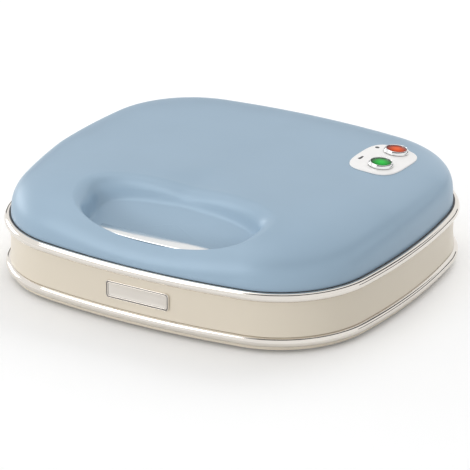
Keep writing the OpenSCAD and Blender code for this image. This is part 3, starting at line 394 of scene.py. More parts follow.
satin_blue = grain("satin_blue_paint", (0.318, 0.440, 0.555), 0.38, metal=0.08, patch=0.02, patch_size=22,
                   bump=0.05, bump_size=1800, rough_swing=0.03)


def dress(obj, mat, body, slot, *nodes):
    """Gives the piece its finish and its body, and hides the CAD nodes that it stands for. The slot is not
    used.
    """
    obj.data.materials.clear()
    obj.data.materials.append(mat)
    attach(obj, body)
    if nodes:
        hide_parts(*nodes)
    return obj


LID_POSTS = ((92, -61), (-92, -61), (72, 86), (-72, 86))
HINGE_X = (-38, 38)
lid = put("lid_dome", *skin(lid_rings()))
window_half, window_back, window_low, window_high = 40.3, -82.8, 46.15, 48.75
across = np.linspace(-window_half, window_half, 61)
window = np.vstack([np.column_stack([across, lip_y(across, 4.3) - 4.0]),
                    [(window_half, window_back), (-window_half, window_back)]])
cuts = [prism("window", window, window_low, window_high)]
cuts.append(prism("web_slot", box_plan(-34.6, -95.1, 34.6, -87.4), 42.0, window_low))
cuts += [prism("notch", box_plan(x - 6.4, 92.5, x + 6.4, HALF_D), 37, 45.0) for x in HINGE_X]
carve(lid, cuts)
posts = []
for x, y in LID_POSTS:
    ring = round_plan(x, y, 4.5)
    posts.append(prism("post", ring, 42.3, float(lid_height(ring).min()) - 1.0))
carve(lid, posts, "UNION")
cuts = [prism("post_hole", round_plan(x, y, 1.7, 24), 41, 52) for x, y in LID_POSTS]
cuts += [put("lamp_hole", *at_lamp(p, 0, [(5.75, 7), (5.75, -9)], 48)) for p in LAMPS]
carve(lid, cuts)
smoothed(lid, 40)
dress(lid, satin_blue, "lid", "blue", "lid_shell")

# ------------------------------------------------------------
# The tub: a low cream moulding whose wall is slightly hollow between the bands.
# Its floor has two fields of slots for air, and four screws go up from below.
# ------------------------------------------------------------
TUB_POSTS = ((84, -78), (-84, -78), (70, 92), (-70, 92))
tub_floor, hollow_low, hollow_high, tub_top, tub_inner = 2.0, 10.3, 32.1, 37.4, 6.0
wall_line = [(4.2, tub_floor), (3.55, 2.25), (3.4, 2.8), (3.4, hollow_low - 0.1)]
for t in np.linspace(0, 1, 17):
    wall_line.append((3 + 0.7 * (1 - (2 * t - 1) ** 2), hollow_low + (hollow_high - hollow_low) * t))
wall_line += [(3.0, 37.0), (3.1, 37.3), (3.4, tub_top), (5.8, tub_top), (tub_inner, 37.2), (tub_inner, 3.0),
              (tub_inner, tub_floor)]
tub = hoop("tub_wall", wall_line, smooth=40)
slab_and_posts = [prism("floor", outline(5.0, 2), tub_floor, 4.5)]
slab_and_posts += [prism("post", round_plan(x, y, 4.5), tub_floor, 26.0) for x, y in TUB_POSTS]
carve(tub, slab_and_posts, "UNION")
cuts = [prism("hole", round_plan(x, y, 1.7), 1.0, 27.0) for x, y in TUB_POSTS]
cuts += [prism("sink", round_plan(x, y, 3.3), 1.0, 6.1) for x, y in TUB_POSTS]
for x in (-40, 40):
    cuts += [prism("vent", box_plan(x - 17, y, x + 17, y + 3), 1.0, 5.5) for y in range(-6, 44, 10)]
carve(tub, cuts)
cream = grain("cream_moulding", (0.74, 0.67, 0.555), 0.30, patch=0.02, patch_size=18, bump=0.03,
              bump_size=900, rough_swing=0.04)
smoothed(tub, 40)
dress(tub, cream, "base", "cream", "base_shell")

# ------------------------------------------------------------
# A thin dark strip in the groove between the upper band and the lid's edge,
# where the closed lid comes down: painted shadow of the parting gap there.
# ------------------------------------------------------------
strip_line = [(2.95, 37.25), (2.95, 37.75), (3.1, 37.82), (4.2, 37.82), (4.35, 37.7), (4.35, 37.35),
              (3.6, 37.3)]
strip = hoop("seam_shadow_strip", strip_line)
# Near black: painted shadow of the gap between the band and the lid.
painted_seam_shadow = grain("painted_seam_shadow", (0.10, 0.10, 0.105), 0.5, patch=0.1, patch_size=200, bump=0.15,
                      bump_size=1200)
dress(strip, painted_seam_shadow, "base", "dark_frame")

# ------------------------------------------------------------
# The two bands: half-round bright trim, chromed, sprung into place round the tub
# above and below the hollow of its wall. Both run unbroken all the way round.
# ------------------------------------------------------------
def chromed(name, colour, rough, smudge):
    """Bright plate: a mirror with faint smudges and a very slight unevenness."""
    return grain(name, colour, rough, metal=1.0, patch=0.015, patch_size=40, bump=0.012, bump_size=260,
                 rough_swing=smudge)


# The chrome's own grey is warmed towards cream: a painted reflection of the cream tub around the bands and
# the name plate.
chrome_painted_cream_reflection = chromed("chrome_with_painted_cream_reflection", (0.77, 0.73, 0.675), 0.07, 0.03)
band_r = 2.9
for name, z, inset in (("lower_bright_band", 7.2, 0.4), ("upper_bright_band", 35.2, 0.0)):
    section = [(inset + band_r, z - band_r)]
    section += [(inset + band_r - band_r * math.cos(a), z + band_r * math.sin(a))
                for a in np.radians(np.linspace(-88, 88, 33))]
    section += [(inset + band_r, z + band_r)]
    band = hoop(name, section, smooth=60)
    dress(band, chrome_painted_cream_reflection, "base", "chrome", name.replace("_bright", ""))

# ------------------------------------------------------------
# The name plate: a small chromed tablet let into the middle of the front wall.
# Its field is sunk and satin, and is left bare. Its grooves and the step down to the field are dark grey:
# painted shade.
# ------------------------------------------------------------
TABLET_Z = 21.3


def tablet_ring(w, h, r, inset, steps=10):
    """A rounded rectangle on the front wall; it follows the wall's curve at that inset."""
    ring = []
    for sx, sz, start in ((1, 1, 0), (-1, 1, 90), (-1, -1, 180), (1, -1, 270)):
        for a in np.radians(start + np.linspace(0, 90, steps)):
            x, z = sx * (w / 2 - r) + r * math.cos(a), sz * (h / 2 - r) + r * math.sin(a)
            ring.append((x, FRONT_C[1] - math.sqrt((FRONT_R - inset) ** 2 - x ** 2), TABLET_Z + z))
    return np.array(ring)


tablet = [(42.5, 11, 2.0, 3.5), (42.5, 11, 2.0, 2.4), (42.2, 10.7, 1.9, 2.15), (41.8, 10.3, 1.75, 2.12),
          (41.5, 10.0, 1.65, 2.3), (41.4, 9.9, 1.6, 2.75), (40.6, 9.1, 1.4, 2.75), (40.5, 9.0, 1.35, 2.3),
          (40.2, 8.7, 1.3, 2.18), (39.5, 8.0, 1.1, 2.18), (39.2, 7.7, 1.0, 2.32), (39.1, 7.6, 1.0, 2.7),
          (38.9, 7.4, 0.95, 2.75), (30, 4, 0.6, 2.75)]
plate = put("bare_name_plate", *skin([tablet_ring(*row) for row in tablet]), smooth=50)
satin_field = grain("satin_plate_field", (0.475, 0.445, 0.418), 0.36, metal=0.35, patch=0.06,
                    patch_size=900, bump=0.35, bump_size=1700)
# Dark grey for the grooves and the step to the field: painted shade where they fall into shadow.
groove_shade_paint = grain("painted_groove_shade", (0.20, 0.185, 0.175), 0.4, patch=0.1, patch_size=300, bump=0.1)
dress(plate, chrome_painted_cream_reflection, "base", "chrome", "name_plate")
plate.data.materials.append(satin_field)
plate.data.materials.append(groove_shade_paint)
painted_shade_rows, field_row = (4, 5, 6, 10), 11
points_round = len(tablet_ring(*tablet[0]))
for face in plate.data.polygons:
    row = face.index // points_round
    in_field = row >= field_row and face.normal.y < -0.5
    face.material_index = 1 if in_field else 2 if row in painted_shade_rows else 0

# ------------------------------------------------------------
# The latch bar: a chromed bar that stands on the well's floor, follows the lip in
# front and is straight behind. Fingers draw it forward under the lip.
# ------------------------------------------------------------
BAR_HALF, BAR_BACK = 40.0, -83.1


def bar_ring(inset, z):
    """The bar's outline drawn in by inset, counter-clockwise from its left end."""
    half, back = BAR_HALF - inset, BAR_BACK - inset
    front = np.linspace(-half, half, 61)
    ring = np.column_stack([front, np.minimum(lip_y(front, 4.6 + inset), back - 1.0)])
    behind = [(half, back - 0.6), (half - 0.6, back), (-half + 0.6, back), (-half, back - 0.6)]
    return joined(np.vstack([ring, behind]), z)


bar_line = [(0.6, 48.6), (0.35, 48.58), (0.12, 48.42), (0.0, 48.1), (0.0, 46.6), (0.1, 46.35), (0.35, 46.3)]
bar = put("latch_grip", *skin([bar_ring(i, z) for i, z in bar_line]), smooth=50)
carve(bar, [prism("web", box_plan(-34, -90.5, 34, -88), 43.1, 46.5)], "UNION")
cold_chrome = chromed("cold_chrome", (0.82, 0.825, 0.82), 0.10, 0.02)
dress(bar, cold_chrome, "latch", "chrome", "latch_bar")

# ------------------------------------------------------------
# The indicator panel: a thin pale tablet that lies on the lid's right side, with
# two small dark marks beside its lamps. It is moulded and satin.
# ------------------------------------------------------------
PANEL_X, PANEL_Y, PANEL_HALF_X, PANEL_HALF_Y, PANEL_POWER = 77.2, 45.6, 16.0, 22.85, 3.2


def panel_ring(s, lift):
    """The panel's outline at share s of its size, lifted off the lid's skin."""
    a = np.arange(144) * 2 * math.pi / 144
    r = s * (np.abs(np.cos(a)) ** PANEL_POWER + np.abs(np.sin(a)) ** PANEL_POWER) ** (-1 / PANEL_POWER)
    plan = np.column_stack([PANEL_X + r * np.cos(a) * PANEL_HALF_X, PANEL_Y + r * np.sin(a) * PANEL_HALF_Y])
    return joined(plan, lid_height(plan) + lift)


panel_line = [(s, PANEL_LIFT) for s in (0.15, 0.35, 0.55, 0.75, 0.9, 0.955)]
panel_line += [(0.975, 0.84), (0.99, 0.7), (1.0, 0.45), (1.0, 0.1), (0.9, 0.1), (0.6, 0.1), (0.3, 0.1)]
panel = put("lamp_panel", *skin([panel_ring(s, h) for s, h in panel_line]), smooth=50)
carve(panel, [put("lamp_hole", *at_lamp(p, -6, [(6.3, 12), (6.3, 0)], 48)) for p in LAMPS])
pale_panel = grain("pale_panel_moulding", (0.93, 0.915, 0.90), 0.30, patch=0.02, patch_size=80, bump=0.04,
                   bump_size=2200)
dress(panel, pale_panel, "lid", "panel", "indicator_panel")

# ------------------------------------------------------------
# The two lamps: chromed bezels on the panel, each round a domed lens, green in
# front for ready and orange-red behind for power. Holders carry them from below.
# ------------------------------------------------------------
SEAT_LIFT = 0.3
bezel_line = [(6.28, 1.0), (6.3, 1.8), (6.37, 1.9), (6.48, 1.9), (6.62, 1.8), (6.95, 1.5), (7.25, 1.14),
              (7.48, 0.75), (7.6, 0.4), (7.66, 0.12), (7.66, 0.0), (7.5, -0.1), (6.3, -0.1)]
verts, faces = np.zeros((0, 3)), []
for p in LAMPS:
    ring_verts, ring_faces = at_lamp(p, SEAT_LIFT, bezel_line, 96, closed=True)
    faces += [tuple(len(verts) + i for i in face) for face in ring_faces]
    verts = np.vstack([verts, ring_verts])
bezels = put("lamp_rings", verts, faces, smooth=50)
dress(bezels, cold_chrome, "lid", "chrome", "lamp_bezels")


def lens_with_painted_glow(name, rim, middle, centre):
    """Clear coloured moulding with painted light: deep and dark at its rim as painted shade, brighter in the
    middle where the lamp sits as a painted glow, and a faint emission so that it glows though no lamp is lit.
    """
    mat = grain(name, middle, 0.16, patch=0.05, patch_size=260, bump=0.05, bump_size=500, ior=1.3)
    tree = mat.node_tree
    add, link = tree.nodes.new, tree.links.new
    shader = tree.nodes["Principled BSDF"]
    place = add("ShaderNodeTexCoord")
    about = add("ShaderNodeMapping")
    about.vector_type = "TEXTURE"
    about.inputs["Location"].default_value = centre * 0.001
    about.inputs["Scale"].default_value = (0.0068, 0.0068, 0.0068)
    ball = add("ShaderNodeTexGradient")
    ball.gradient_type = "SPHERICAL"
    between = [0.6 * r + 0.4 * m for r, m in zip(rim, middle)]
    ramp = toned(tree, [(0.09, rim), (0.36, between), (0.8, middle)])
    shader.inputs["Specular IOR Level"].default_value = 0.2
    # Painted glow: a faint emission, though no lamp is lit inside.
    shader.inputs["Emission Strength"].default_value = 0.30
    link(place.outputs["Object"], about.inputs["Vector"])
    link(about.outputs["Vector"], ball.inputs["Vector"])
    link(ball.outputs["Fac"], ramp.inputs["Fac"])
    for socket in ("Base Color", "Emission Color"):
        link(ramp.outputs["Color"], shader.inputs[socket])
    return mat


lens_line = [(0.001, 2.2), (1.4, 2.16), (2.8, 2.05), (4.0, 1.9), (5.0, 1.7), (5.8, 1.48), (6.22, 1.3),
             (6.22, 0.6), (5.6, 0.5), (5.6, -5.0), (3.0, -5.0)]
for p, name, node, rim, middle in (
        (LAMPS[0], "green_lens", "ready_lens", (0.004, 0.05, 0.012), (0.02, 0.44, 0.05)),
        (LAMPS[1], "orange_lens", "power_lens", (0.11, 0.004, 0.003), (0.66, 0.085, 0.012))):
    lens = put(name + "_dome", *at_lamp(p, SEAT_LIFT, lens_line, 96), smooth=60)
    # Centre of the painted glow, a little right of and in front of the lens's middle.
    painted_glow_centre = lamp_frame(p, 1.6).to_translation() + Vector((0.8, -1.2, 0))
    dress(lens, lens_with_painted_glow(name + "_moulding", rim, middle, painted_glow_centre), "lid", name, node)

# ------------------------------------------------------------
# The two marks on the panel, a short stroke by the ready lamp and a dot by the
# power lamp: dark inlays, no thicker than paint.
# ------------------------------------------------------------
stroke = np.array([(64.9, 35.9), (66.6, 35.7), (66.9, 37.9), (66.5, 40.9), (65.5, 41.0), (65.3, 38.6)])
mark_top, mark_under = PANEL_LIFT + 0.03, PANEL_LIFT - 0.3
verts, faces = [], []
for plan in (stroke, round_plan(66.0, 58.6, 1.35, 24)):
    start, n = len(verts), len(plan)
    for lift in (mark_top, mark_under):
        verts += list(joined(plan, lid_height(plan) + lift))
    faces += [tuple(range(start, start + n)), tuple(range(start + 2 * n - 1, start + n - 1, -1))]
    faces += [(start + i, start + n + i, start + n + (i + 1) % n, start + (i + 1) % n) for i in range(n)]
marks = put("panel_marks", verts, faces)
dark_inlay = grain("dark_inlay", (0.03, 0.03, 0.035), 0.45, patch=0.1, patch_size=300, bump=0.03)
dress(marks, dark_inlay, "lid", "black_block")

# ------------------------------------------------------------
# The finishes of the pieces inside, behind and below. The heating elements, their
# reflectors and the hinge pins keep the CAD's own mesh and only take the finish.
# ------------------------------------------------------------
coated = grain("non_stick_coating", (0.035, 0.035, 0.038), 0.42, patch=0.25, patch_size=500, bump=0.25,
               bump_size=1400, rough_swing=0.08)
dark_frame = grain("dark_frame_moulding", (0.045, 0.045, 0.05), 0.5, patch=0.1, patch_size=200, bump=0.3,
                   bump_size=1600)
sheath = grain("burnt_sheath", (0.16, 0.14, 0.12), 0.45, metal=0.9, patch=0.3, patch_size=120, bump=0.15)
bright_sheet = grain("bright_sheet", (0.75, 0.75, 0.76), 0.28, metal=1.0, patch=0.05, patch_size=150,
                     bump=0.08)
plain_steel = grain("plain_steel", (0.50, 0.50, 0.50), 0.34, metal=1.0, patch=0.08, patch_size=300,
                    bump=0.08)
foot_rubber = grain("foot_rubber", (0.035, 0.035, 0.035), 0.7, patch=0.2, patch_size=400, bump=0.4)
white_block = grain("white_terminal_moulding", (0.75, 0.73, 0.66), 0.35, patch=0.04, patch_size=200,
                    bump=0.1)
brown_resin = grain("brown_resin", (0.12, 0.055, 0.025), 0.5, patch=0.15, patch_size=300, bump=0.2)
black_block = grain("black_moulding", (0.02, 0.02, 0.022), 0.4, patch=0.2, patch_size=300, bump=0.2)
for mat, nodes in (
        (sheath, "lower_element upper_element"), (bright_sheet, "lower_reflector upper_reflector"),
        (plain_steel, "hinge_pins")):
    for node in nodes.split():
        node_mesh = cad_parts[node].data
        node_mesh.materials.clear()
        node_mesh.materials.append(mat)

# ------------------------------------------------------------
# The two cast plates: aluminium under a dark non-stick coating. Each has two
# sandwich pockets, and a thin diagonal ridge cuts each into two dished triangles.
# ------------------------------------------------------------
PLATE_W, PLATE_D, PLATE_Y, PLATE_R = 218.0, 124.0, 14.0, 20.0
POCKET_X, POCKET_W, POCKET_D, POCKET_R = 3.0, 101.0, 114.0, 9.0
RIDGE_LAND, DISH_DEPTH, FACE_Z, SKIN_BACK = 2.5, 9.5, 1.2, 4.0
DIAGONAL = math.hypot(POCKET_W, POCKET_D)
LEG_X, LEG_Y = POCKET_W - RIDGE_LAND * DIAGONAL / POCKET_D, POCKET_D - RIDGE_LAND * DIAGONAL / POCKET_W
NEAR_TRI = np.array([(0, 0), (LEG_X, 0), (0, LEG_Y)])
FAR_TRI = np.array([POCKET_W, POCKET_D]) - NEAR_TRI


def tri_ring(tri, inset, h, steps=14):
    """A triangle drawn in by inset, with rounded corners, at height h from the parting plane."""
    ring, r = [], max(3.0, POCKET_R - inset * 0.35)
    for k in range(3):
        a, b, c = tri[k - 1], tri[k], tri[(k + 1) % 3]
        into = math.atan2(*(b - a)[::-1]) - math.pi / 2
        out = math.atan2(*(c - b)[::-1]) - math.pi / 2
        out += 2 * math.pi if out < into else 0
        half, middle = (math.pi - (out - into)) / 2, (into + out) / 2
        centre = b - (inset + r) / math.sin(half) * np.array([math.cos(middle), math.sin(middle)])
        t = into + (out - into) * np.arange(steps + 1) / steps
        ring += [(*(centre + [r * math.cos(angle), r * math.sin(angle)]), h) for angle in t]
    return np.array(ring)


def eased(stops, fine=5):
    """Smooth steps through a list of pairs."""
    q = np.vstack([stops[0], stops, stops[-1]]).astype(float)
    line = []
    for a, b, c, d in zip(q[:-3], q[1:-2], q[2:-1], q[3:]):
        for t in np.arange(fine) / fine:
            bend = (2 * a - 5 * b + 4 * c - d) * t ** 2 + (3 * b - a - 3 * c + d) * t ** 3
            line.append(0.5 * (2 * b + (c - a) * t + bend))
    return line + [q[-1]]


def rounded_ring(cx, cy, w, d, r, h, steps=14):
    """A rounded rectangle about (cx, cy) at height h from the parting plane."""
    ring = []
    for sx, sy, start in ((1, 1, 0), (-1, 1, 90), (-1, -1, 180), (1, -1, 270)):
        for a in np.radians(start + np.linspace(0, 90, steps)):
            ring.append((cx + sx * (w / 2 - r) + r * math.cos(a), cy + sy * (d / 2 - r) + r * math.sin(a), h))
    return np.array(ring)


def cast(name, rings, side, half, closed=False):
    """A closed solid. side mirrors pocket coordinates in x, 0 is for plate ones; half mirrors it in z."""
    verts, faces = skin(rings, closed)
    if side:
        verts = verts + [POCKET_X, PLATE_Y - POCKET_D / 2, 0]
        verts[:, 0] *= side
    verts[:, 2] = LID_Z + half * verts[:, 2]
    obj = put(name, verts, faces)
    work = bmesh.new()
    work.from_mesh(obj.data)
    bmesh.ops.recalc_face_normals(work, faces=work.faces)
    work.to_mesh(obj.data)
    work.free()
    return obj


def upright(name, x, y, w, d, r, low, high, half):
    """A straight rounded block behind the plate."""
    return cast(name, [rounded_ring(x, y, w, d, r, h) for h in (low, high)], 0, half)


dish_line = eased([(20, 1), (11, 0.95), (5.5, 0.76), (2.2, 0.42), (0.55, 0.09)])
back_line = eased([(17.5, 1), (9, 0.96), (3.4, 0.8), (0, 0.52), (-2, 0.2)])


def triangle_forms(tri, side, half):
    """What one triangle adds behind the plate, and what its dish takes away in front."""
    back = [tri_ring(tri, i, SKIN_BACK + DISH_DEPTH * share) for i, share in back_line]
    dish = [tri_ring(tri, i, FACE_Z + DISH_DEPTH * share) for i, share in dish_line]
    dish += [tri_ring(tri, i, h) for i, h in ((0.25, 1.5), (-0.1, 1.24), (-0.5, 1.1), (-0.5, -2))]
    return cast("wall", back, side, half), cast("pocket", dish, side, half)


def ridge_form(side, half):
    """The thin ridge along a pocket's diagonal, run out at both ends."""
    across, along = np.array([POCKET_D, POCKET_W]) / DIAGONAL, np.array([POCKET_W, -POCKET_D]) / DIAGONAL
    run_out = [(4, 1.3, 0.5), (5, 0.45, 0.8), (7, 0.3, 1)]
    rings = []
    for t, low, wide in run_out + [(DIAGONAL - t, low, wide) for t, low, wide in run_out[::-1]]:
        flank = [(1.8, 1.7), (1.1, max(low, 0.75)), (0.55, max(low, 0.38)), (0.2, low)]
        section = [(-g, h) for g, h in flank] + flank[::-1]
        spot = np.array([0, POCKET_D]) + along * t
        rings.append(np.array([(*(spot + across * g * wide), h) for g, h in section]))
    return cast("ridge", rings, side, half)


def crimp_form(side, half):
    """The raised edge round a pocket that presses the slices together."""
    line = [(0.0, 1.7), (0.05, 0.95), (0.35, 0.72), (0.85, 0.72), (1.15, 0.95), (1.2, 1.7)]
    rings = [rounded_ring(POCKET_W / 2, POCKET_D / 2, POCKET_W + 2 * i, POCKET_D + 2 * i, POCKET_R + i, h)
             for i, h in line]
    return cast("crimp", rings, side, half, closed=True)


def ear_forms(x, sign, half):
    """One screw ear: a boss, its arm and the web that joins it to the plate; then its hole."""
    y, edge = PLATE_Y + sign * 67, PLATE_Y + sign * 59
    root = edge - sign * 2.5
    added = [upright("ear", x, y, 10, 10, 4.99, 7.0, 10.0, half),
             upright("arm", x, (y + root) / 2, 9, abs(y - root), 0.3, 7.0, 10.0, half),
             upright("web", x, edge, 9, 5, 0.3, 2.2, 7.6, half)]
    return added, upright("ear_hole", x, y, 3.4, 3.4, 1.69, 0, 20, half)


for name, half, body in (("lower_plate", -1, "base"), ("upper_plate", 1, "lid")):
    slab = [(1.6, 6.2), (0, 6.2), (0, 1.7), (0.15, 1.38), (0.5, FACE_Z), (4, FACE_Z)]
    rings = [rounded_ring(0, PLATE_Y, PLATE_W - 2 * i, PLATE_D - 2 * i, PLATE_R - i, h) for i, h in slab]
    grill = cast(name + "_casting", rings, 0, half)
    fill, cut = [], []
    for side in (1, -1):
        for tri in (NEAR_TRI, FAR_TRI):
            wall, pocket = triangle_forms(tri, side, half)
            fill.append(wall)
            cut.append(pocket)
        fill += [ridge_form(side, half), crimp_form(side, half)]
    for x in (-55, 55):
        for sign in (-1, 1):
            added, hole = ear_forms(x, sign, half)
            fill += added
            cut.append(hole)
    for y in (-20, 50):
        fill.append(upright("stud", 0, y, 7, 7, 3.49, 2.2, 20.7, half))
        cut.append(upright("stud_hole", 0, y, 3.1, 3.1, 1.54, 13.7, 30, half))
    carve(grill, fill, "UNION")
    carve(grill, cut)
    smoothed(grill, 38)
    dress(grill, coated, body, "coated_plate", name)

# ------------------------------------------------------------
# Mouldings, brackets and pressed parts keep the CAD's shape, with their edges
# broken as a mould or a press leaves them.
# ------------------------------------------------------------
def merged(node):
    """A working copy of a CAD node's mesh, its triangles joined at their points."""
    work = bmesh.new()
    work.from_mesh(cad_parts[node].data)
    bmesh.ops.remove_doubles(work, verts=work.verts, dist=2e-6)
    return work


def edges_broken(node, width, mat, body, slot):
    """A bevelled copy of the node's mesh that stands for the node."""
    work = merged(node)
    bmesh.ops.dissolve_limit(work, angle_limit=math.radians(0.6), verts=work.verts, edges=work.edges)
    mesh = bpy.data.meshes.new(node + "_finished")
    work.to_mesh(mesh)
    work.free()
    obj = linked(node + "_finished", mesh)
    bevel = obj.modifiers.new("edges", "BEVEL")
    bevel.width, bevel.segments, bevel.limit_method = width * 0.001, 2, "ANGLE"
    bevel.angle_limit = math.radians(40)
    return dress(smoothed(carve(obj, []), 35), mat, body, slot, node)


for node, width, mat, body, slot in (
        ("base_frame", 0.35, dark_frame, "base", "dark_frame"),
        ("lid_frame", 0.35, dark_frame, "lid", "dark_frame"),
        ("hinge_brackets", 0.5, cream, "base", "cream"),
        ("hinge_arms", 0.25, plain_steel, "lid", "steel"),
        ("latch_slide", 0.15, plain_steel, "latch", "steel"),
        ("latch_striker", 0.2, plain_steel, "base", "steel"),
        ("rubber_feet", 0.5, foot_rubber, "base", "rubber"),
        ("cord_gland", 0.3, black_block, "base", "black_block"),
        ("terminal_block", 0.3, white_block, "base", "white_block"),
        ("lamp_holders", 0.2, black_block, "lid", "black_block"),
        ("thermostat", 0.3, brown_resin, "base", "brown_block"),
        ("upper_thermostat", 0.3, brown_resin, "lid", "brown_block"),
        ("thermal_fuse", 0.15, plain_steel, "base", "steel")):
    edges_broken(node, width, mat, body, slot)

# ------------------------------------------------------------
# The latch's two return springs: coils 6.1 mm long between the lid's seat and the
# slide. They keep their CAD length here; pulling the bar shortens the real ones by 4 mm towards the seat.
# ------------------------------------------------------------
coils = edges_broken("latch_springs", 0.01, plain_steel, "lid", "steel")
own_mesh(coils)

# ------------------------------------------------------------
# Screws: zinc-plated pan heads with a hexagon socket. One tree sets a head and a
# shank on each point; the points carry each screw's direction and length.
# ------------------------------------------------------------
def screw_tree():
    """The node tree: one screw for each spot, with its head's underside on the spot."""
    tree = bpy.data.node_groups.new("pan_screws", "GeometryNodeTree")
    tree.interface.new_socket("Spots", in_out="INPUT", socket_type="NodeSocketGeometry")
    for name, value in (("Shank radius", 0.0015), ("Head radius", 0.003), ("Head height", 0.0016),
                        ("Socket radius", 0.00126)):
        entry = tree.interface.new_socket(name, in_out="INPUT", socket_type="NodeSocketFloat")
        entry.default_value = value
    tree.interface.new_socket("Finish", in_out="INPUT", socket_type="NodeSocketMaterial")
    tree.interface.new_socket("Screws", in_out="OUTPUT", socket_type="NodeSocketGeometry")
    add, link = tree.nodes.new, tree.links.new
    given, done = add("NodeGroupInput"), add("NodeGroupOutput")

    def feed(socket, value):
        if isinstance(value, float):
            socket.default_value = value
        else:
            link(value, socket)

    def maths(operation, a, b):
        node = add("ShaderNodeMath")
        node.operation = operation
        feed(node.inputs[0], a)
        feed(node.inputs[1], b)
        return node.outputs[0]

    def cylinder(vertices, radius, depth, lift):
        node, place = add("GeometryNodeMeshCylinder"), add("GeometryNodeTransform")
        offset = add("ShaderNodeCombineXYZ")
        node.inputs["Vertices"].default_value = vertices
        feed(node.inputs["Radius"], radius)
        feed(node.inputs["Depth"], depth)
        feed(offset.inputs["Z"], lift)
        link(node.outputs["Mesh"], place.inputs["Geometry"])
        link(offset.outputs[0], place.inputs["Translation"])
        return place.outputs["Geometry"]

    def carried(name, kind):
        node = add("GeometryNodeInputNamedAttribute")
        node.data_type = kind
        node.inputs["Name"].default_value = name
        return node.outputs["Attribute"]

    high = given.outputs["Head height"]
    head = add("GeometryNodeMeshCylinder")
    head.inputs["Vertices"].default_value = 24
    link(given.outputs["Head radius"], head.inputs["Radius"])
    link(maths("MULTIPLY", high, 0.5), head.inputs["Depth"])
    shape, top = head.outputs["Mesh"], head.outputs["Bottom"]
    for rise, share in ((0.3, 0.86), (0.2, 0.72)):
        drawn, pinch = add("GeometryNodeExtrudeMesh"), add("GeometryNodeScaleElements")
        link(shape, drawn.inputs["Mesh"])
        link(top, drawn.inputs["Selection"])
        link(maths("MULTIPLY", high, rise), drawn.inputs["Offset Scale"])
        link(drawn.outputs["Mesh"], pinch.inputs["Geometry"])
        link(drawn.outputs["Top"], pinch.inputs["Selection"])
        pinch.inputs["Scale"].default_value = share
        shape, top = pinch.outputs["Geometry"], drawn.outputs["Top"]
    down, offset = add("GeometryNodeTransform"), add("ShaderNodeCombineXYZ")
    link(maths("MULTIPLY", high, -0.25), offset.inputs["Z"])
    link(shape, down.inputs["Geometry"])
    link(offset.outputs[0], down.inputs["Translation"])
    socket = add("GeometryNodeMeshBoolean")
    socket.operation = "DIFFERENCE"
    link(down.outputs["Geometry"], socket.inputs[0])
    drive = cylinder(6, given.outputs["Socket radius"], maths("MULTIPLY", high, 1.2),
                     maths("MULTIPLY", high, -1.0))
    link(drive, socket.inputs[1])
    shank = cylinder(20, given.outputs["Shank radius"], 1.0, 0.5)
    align = add("FunctionNodeAlignRotationToVector")
    align.axis = "Z"
    link(carried("toward", "FLOAT_VECTOR"), align.inputs["Vector"])
    stretch = add("ShaderNodeCombineXYZ")
    stretch.inputs["X"].default_value = stretch.inputs["Y"].default_value = 1.0
    link(carried("shank_length", "FLOAT"), stretch.inputs["Z"])
    both = add("GeometryNodeJoinGeometry")
    for mesh, scale in ((socket.outputs[0], None), (shank, stretch.outputs[0])):
        copies = add("GeometryNodeInstanceOnPoints")
        link(given.outputs["Spots"], copies.inputs["Points"])
        link(mesh, copies.inputs["Instance"])
        link(align.outputs["Rotation"], copies.inputs["Rotation"])
        if scale:
            link(scale, copies.inputs["Scale"])
        link(copies.outputs["Instances"], both.inputs["Geometry"])
    real, finish = add("GeometryNodeRealizeInstances"), add("GeometryNodeSetMaterial")
    link(both.outputs[0], real.inputs["Geometry"])
    link(real.outputs[0], finish.inputs["Geometry"])
    link(given.outputs["Finish"], finish.inputs["Material"])
    link(finish.outputs[0], done.inputs["Screws"])
    return tree


def screws_of(node):
    """Under-head point, direction and shank length of each screw of a CAD node."""
    work = merged(node)
    left, found = set(work.verts), []
    while left:
        island, front = set(), [left.pop()]
        while front:
            v = front.pop()
            island.add(v)
            for edge in v.link_edges:
                w = edge.other_vert(v)
                if w in left:
                    left.discard(w)
                    front.append(w)
        p = np.array([v.co[:] for v in island])
        low, high = p.min(0), p.max(0)
        run = int(np.argmax(high - low))
        across = [k for k in range(3) if k != run]
        middle = (low + high) / 2
        wide = p[np.hypot(*(p - middle)[:, across].T) > 0.0025][:, run]
        toward = np.zeros(3)
        toward[run] = 1.0 if wide.mean() < middle[run] else -1.0
        under, tip = (wide.max(), high[run]) if toward[run] > 0 else (wide.min(), low[run])
        middle[run] = under
        found.append((middle, toward, abs(tip - under)))
    work.free()
    return found


pan_screws = screw_tree()
zinc = grain("zinc_plate", (0.60, 0.60, 0.59), 0.30, metal=1.0, patch=0.08, patch_size=500, bump=0.06)
for body, nodes in (("base", ("base_screws", "lower_plate_screws", "striker_screws", "hinge_screws")),
                    ("lid", ("lid_screws", "upper_plate_screws", "arm_screws"))):
    found = [screw for node in nodes for screw in screws_of(node)]
    spots, directions, lengths = zip(*found)
    mesh = bpy.data.meshes.new(body + "_screw_spots")
    mesh.from_pydata([tuple(spot) for spot in spots], [], [])
    toward = mesh.attributes.new("toward", "FLOAT_VECTOR", "POINT")
    toward.data.foreach_set("vector", np.ravel(directions))
    shank_length = mesh.attributes.new("shank_length", "FLOAT", "POINT")
    shank_length.data.foreach_set("value", lengths)
    screws = linked(body + "_pan_screws", mesh)
    nodes_mod = screws.modifiers.new("pan_screws", "NODES")
    nodes_mod.node_group = pan_screws
    for item in pan_screws.interface.items_tree:
        if item.name == "Finish":
            nodes_mod[item.identifier] = zinc
    smoothed(carve(screws, []), 35)
    dress(screws, zinc, body, "steel", *nodes)

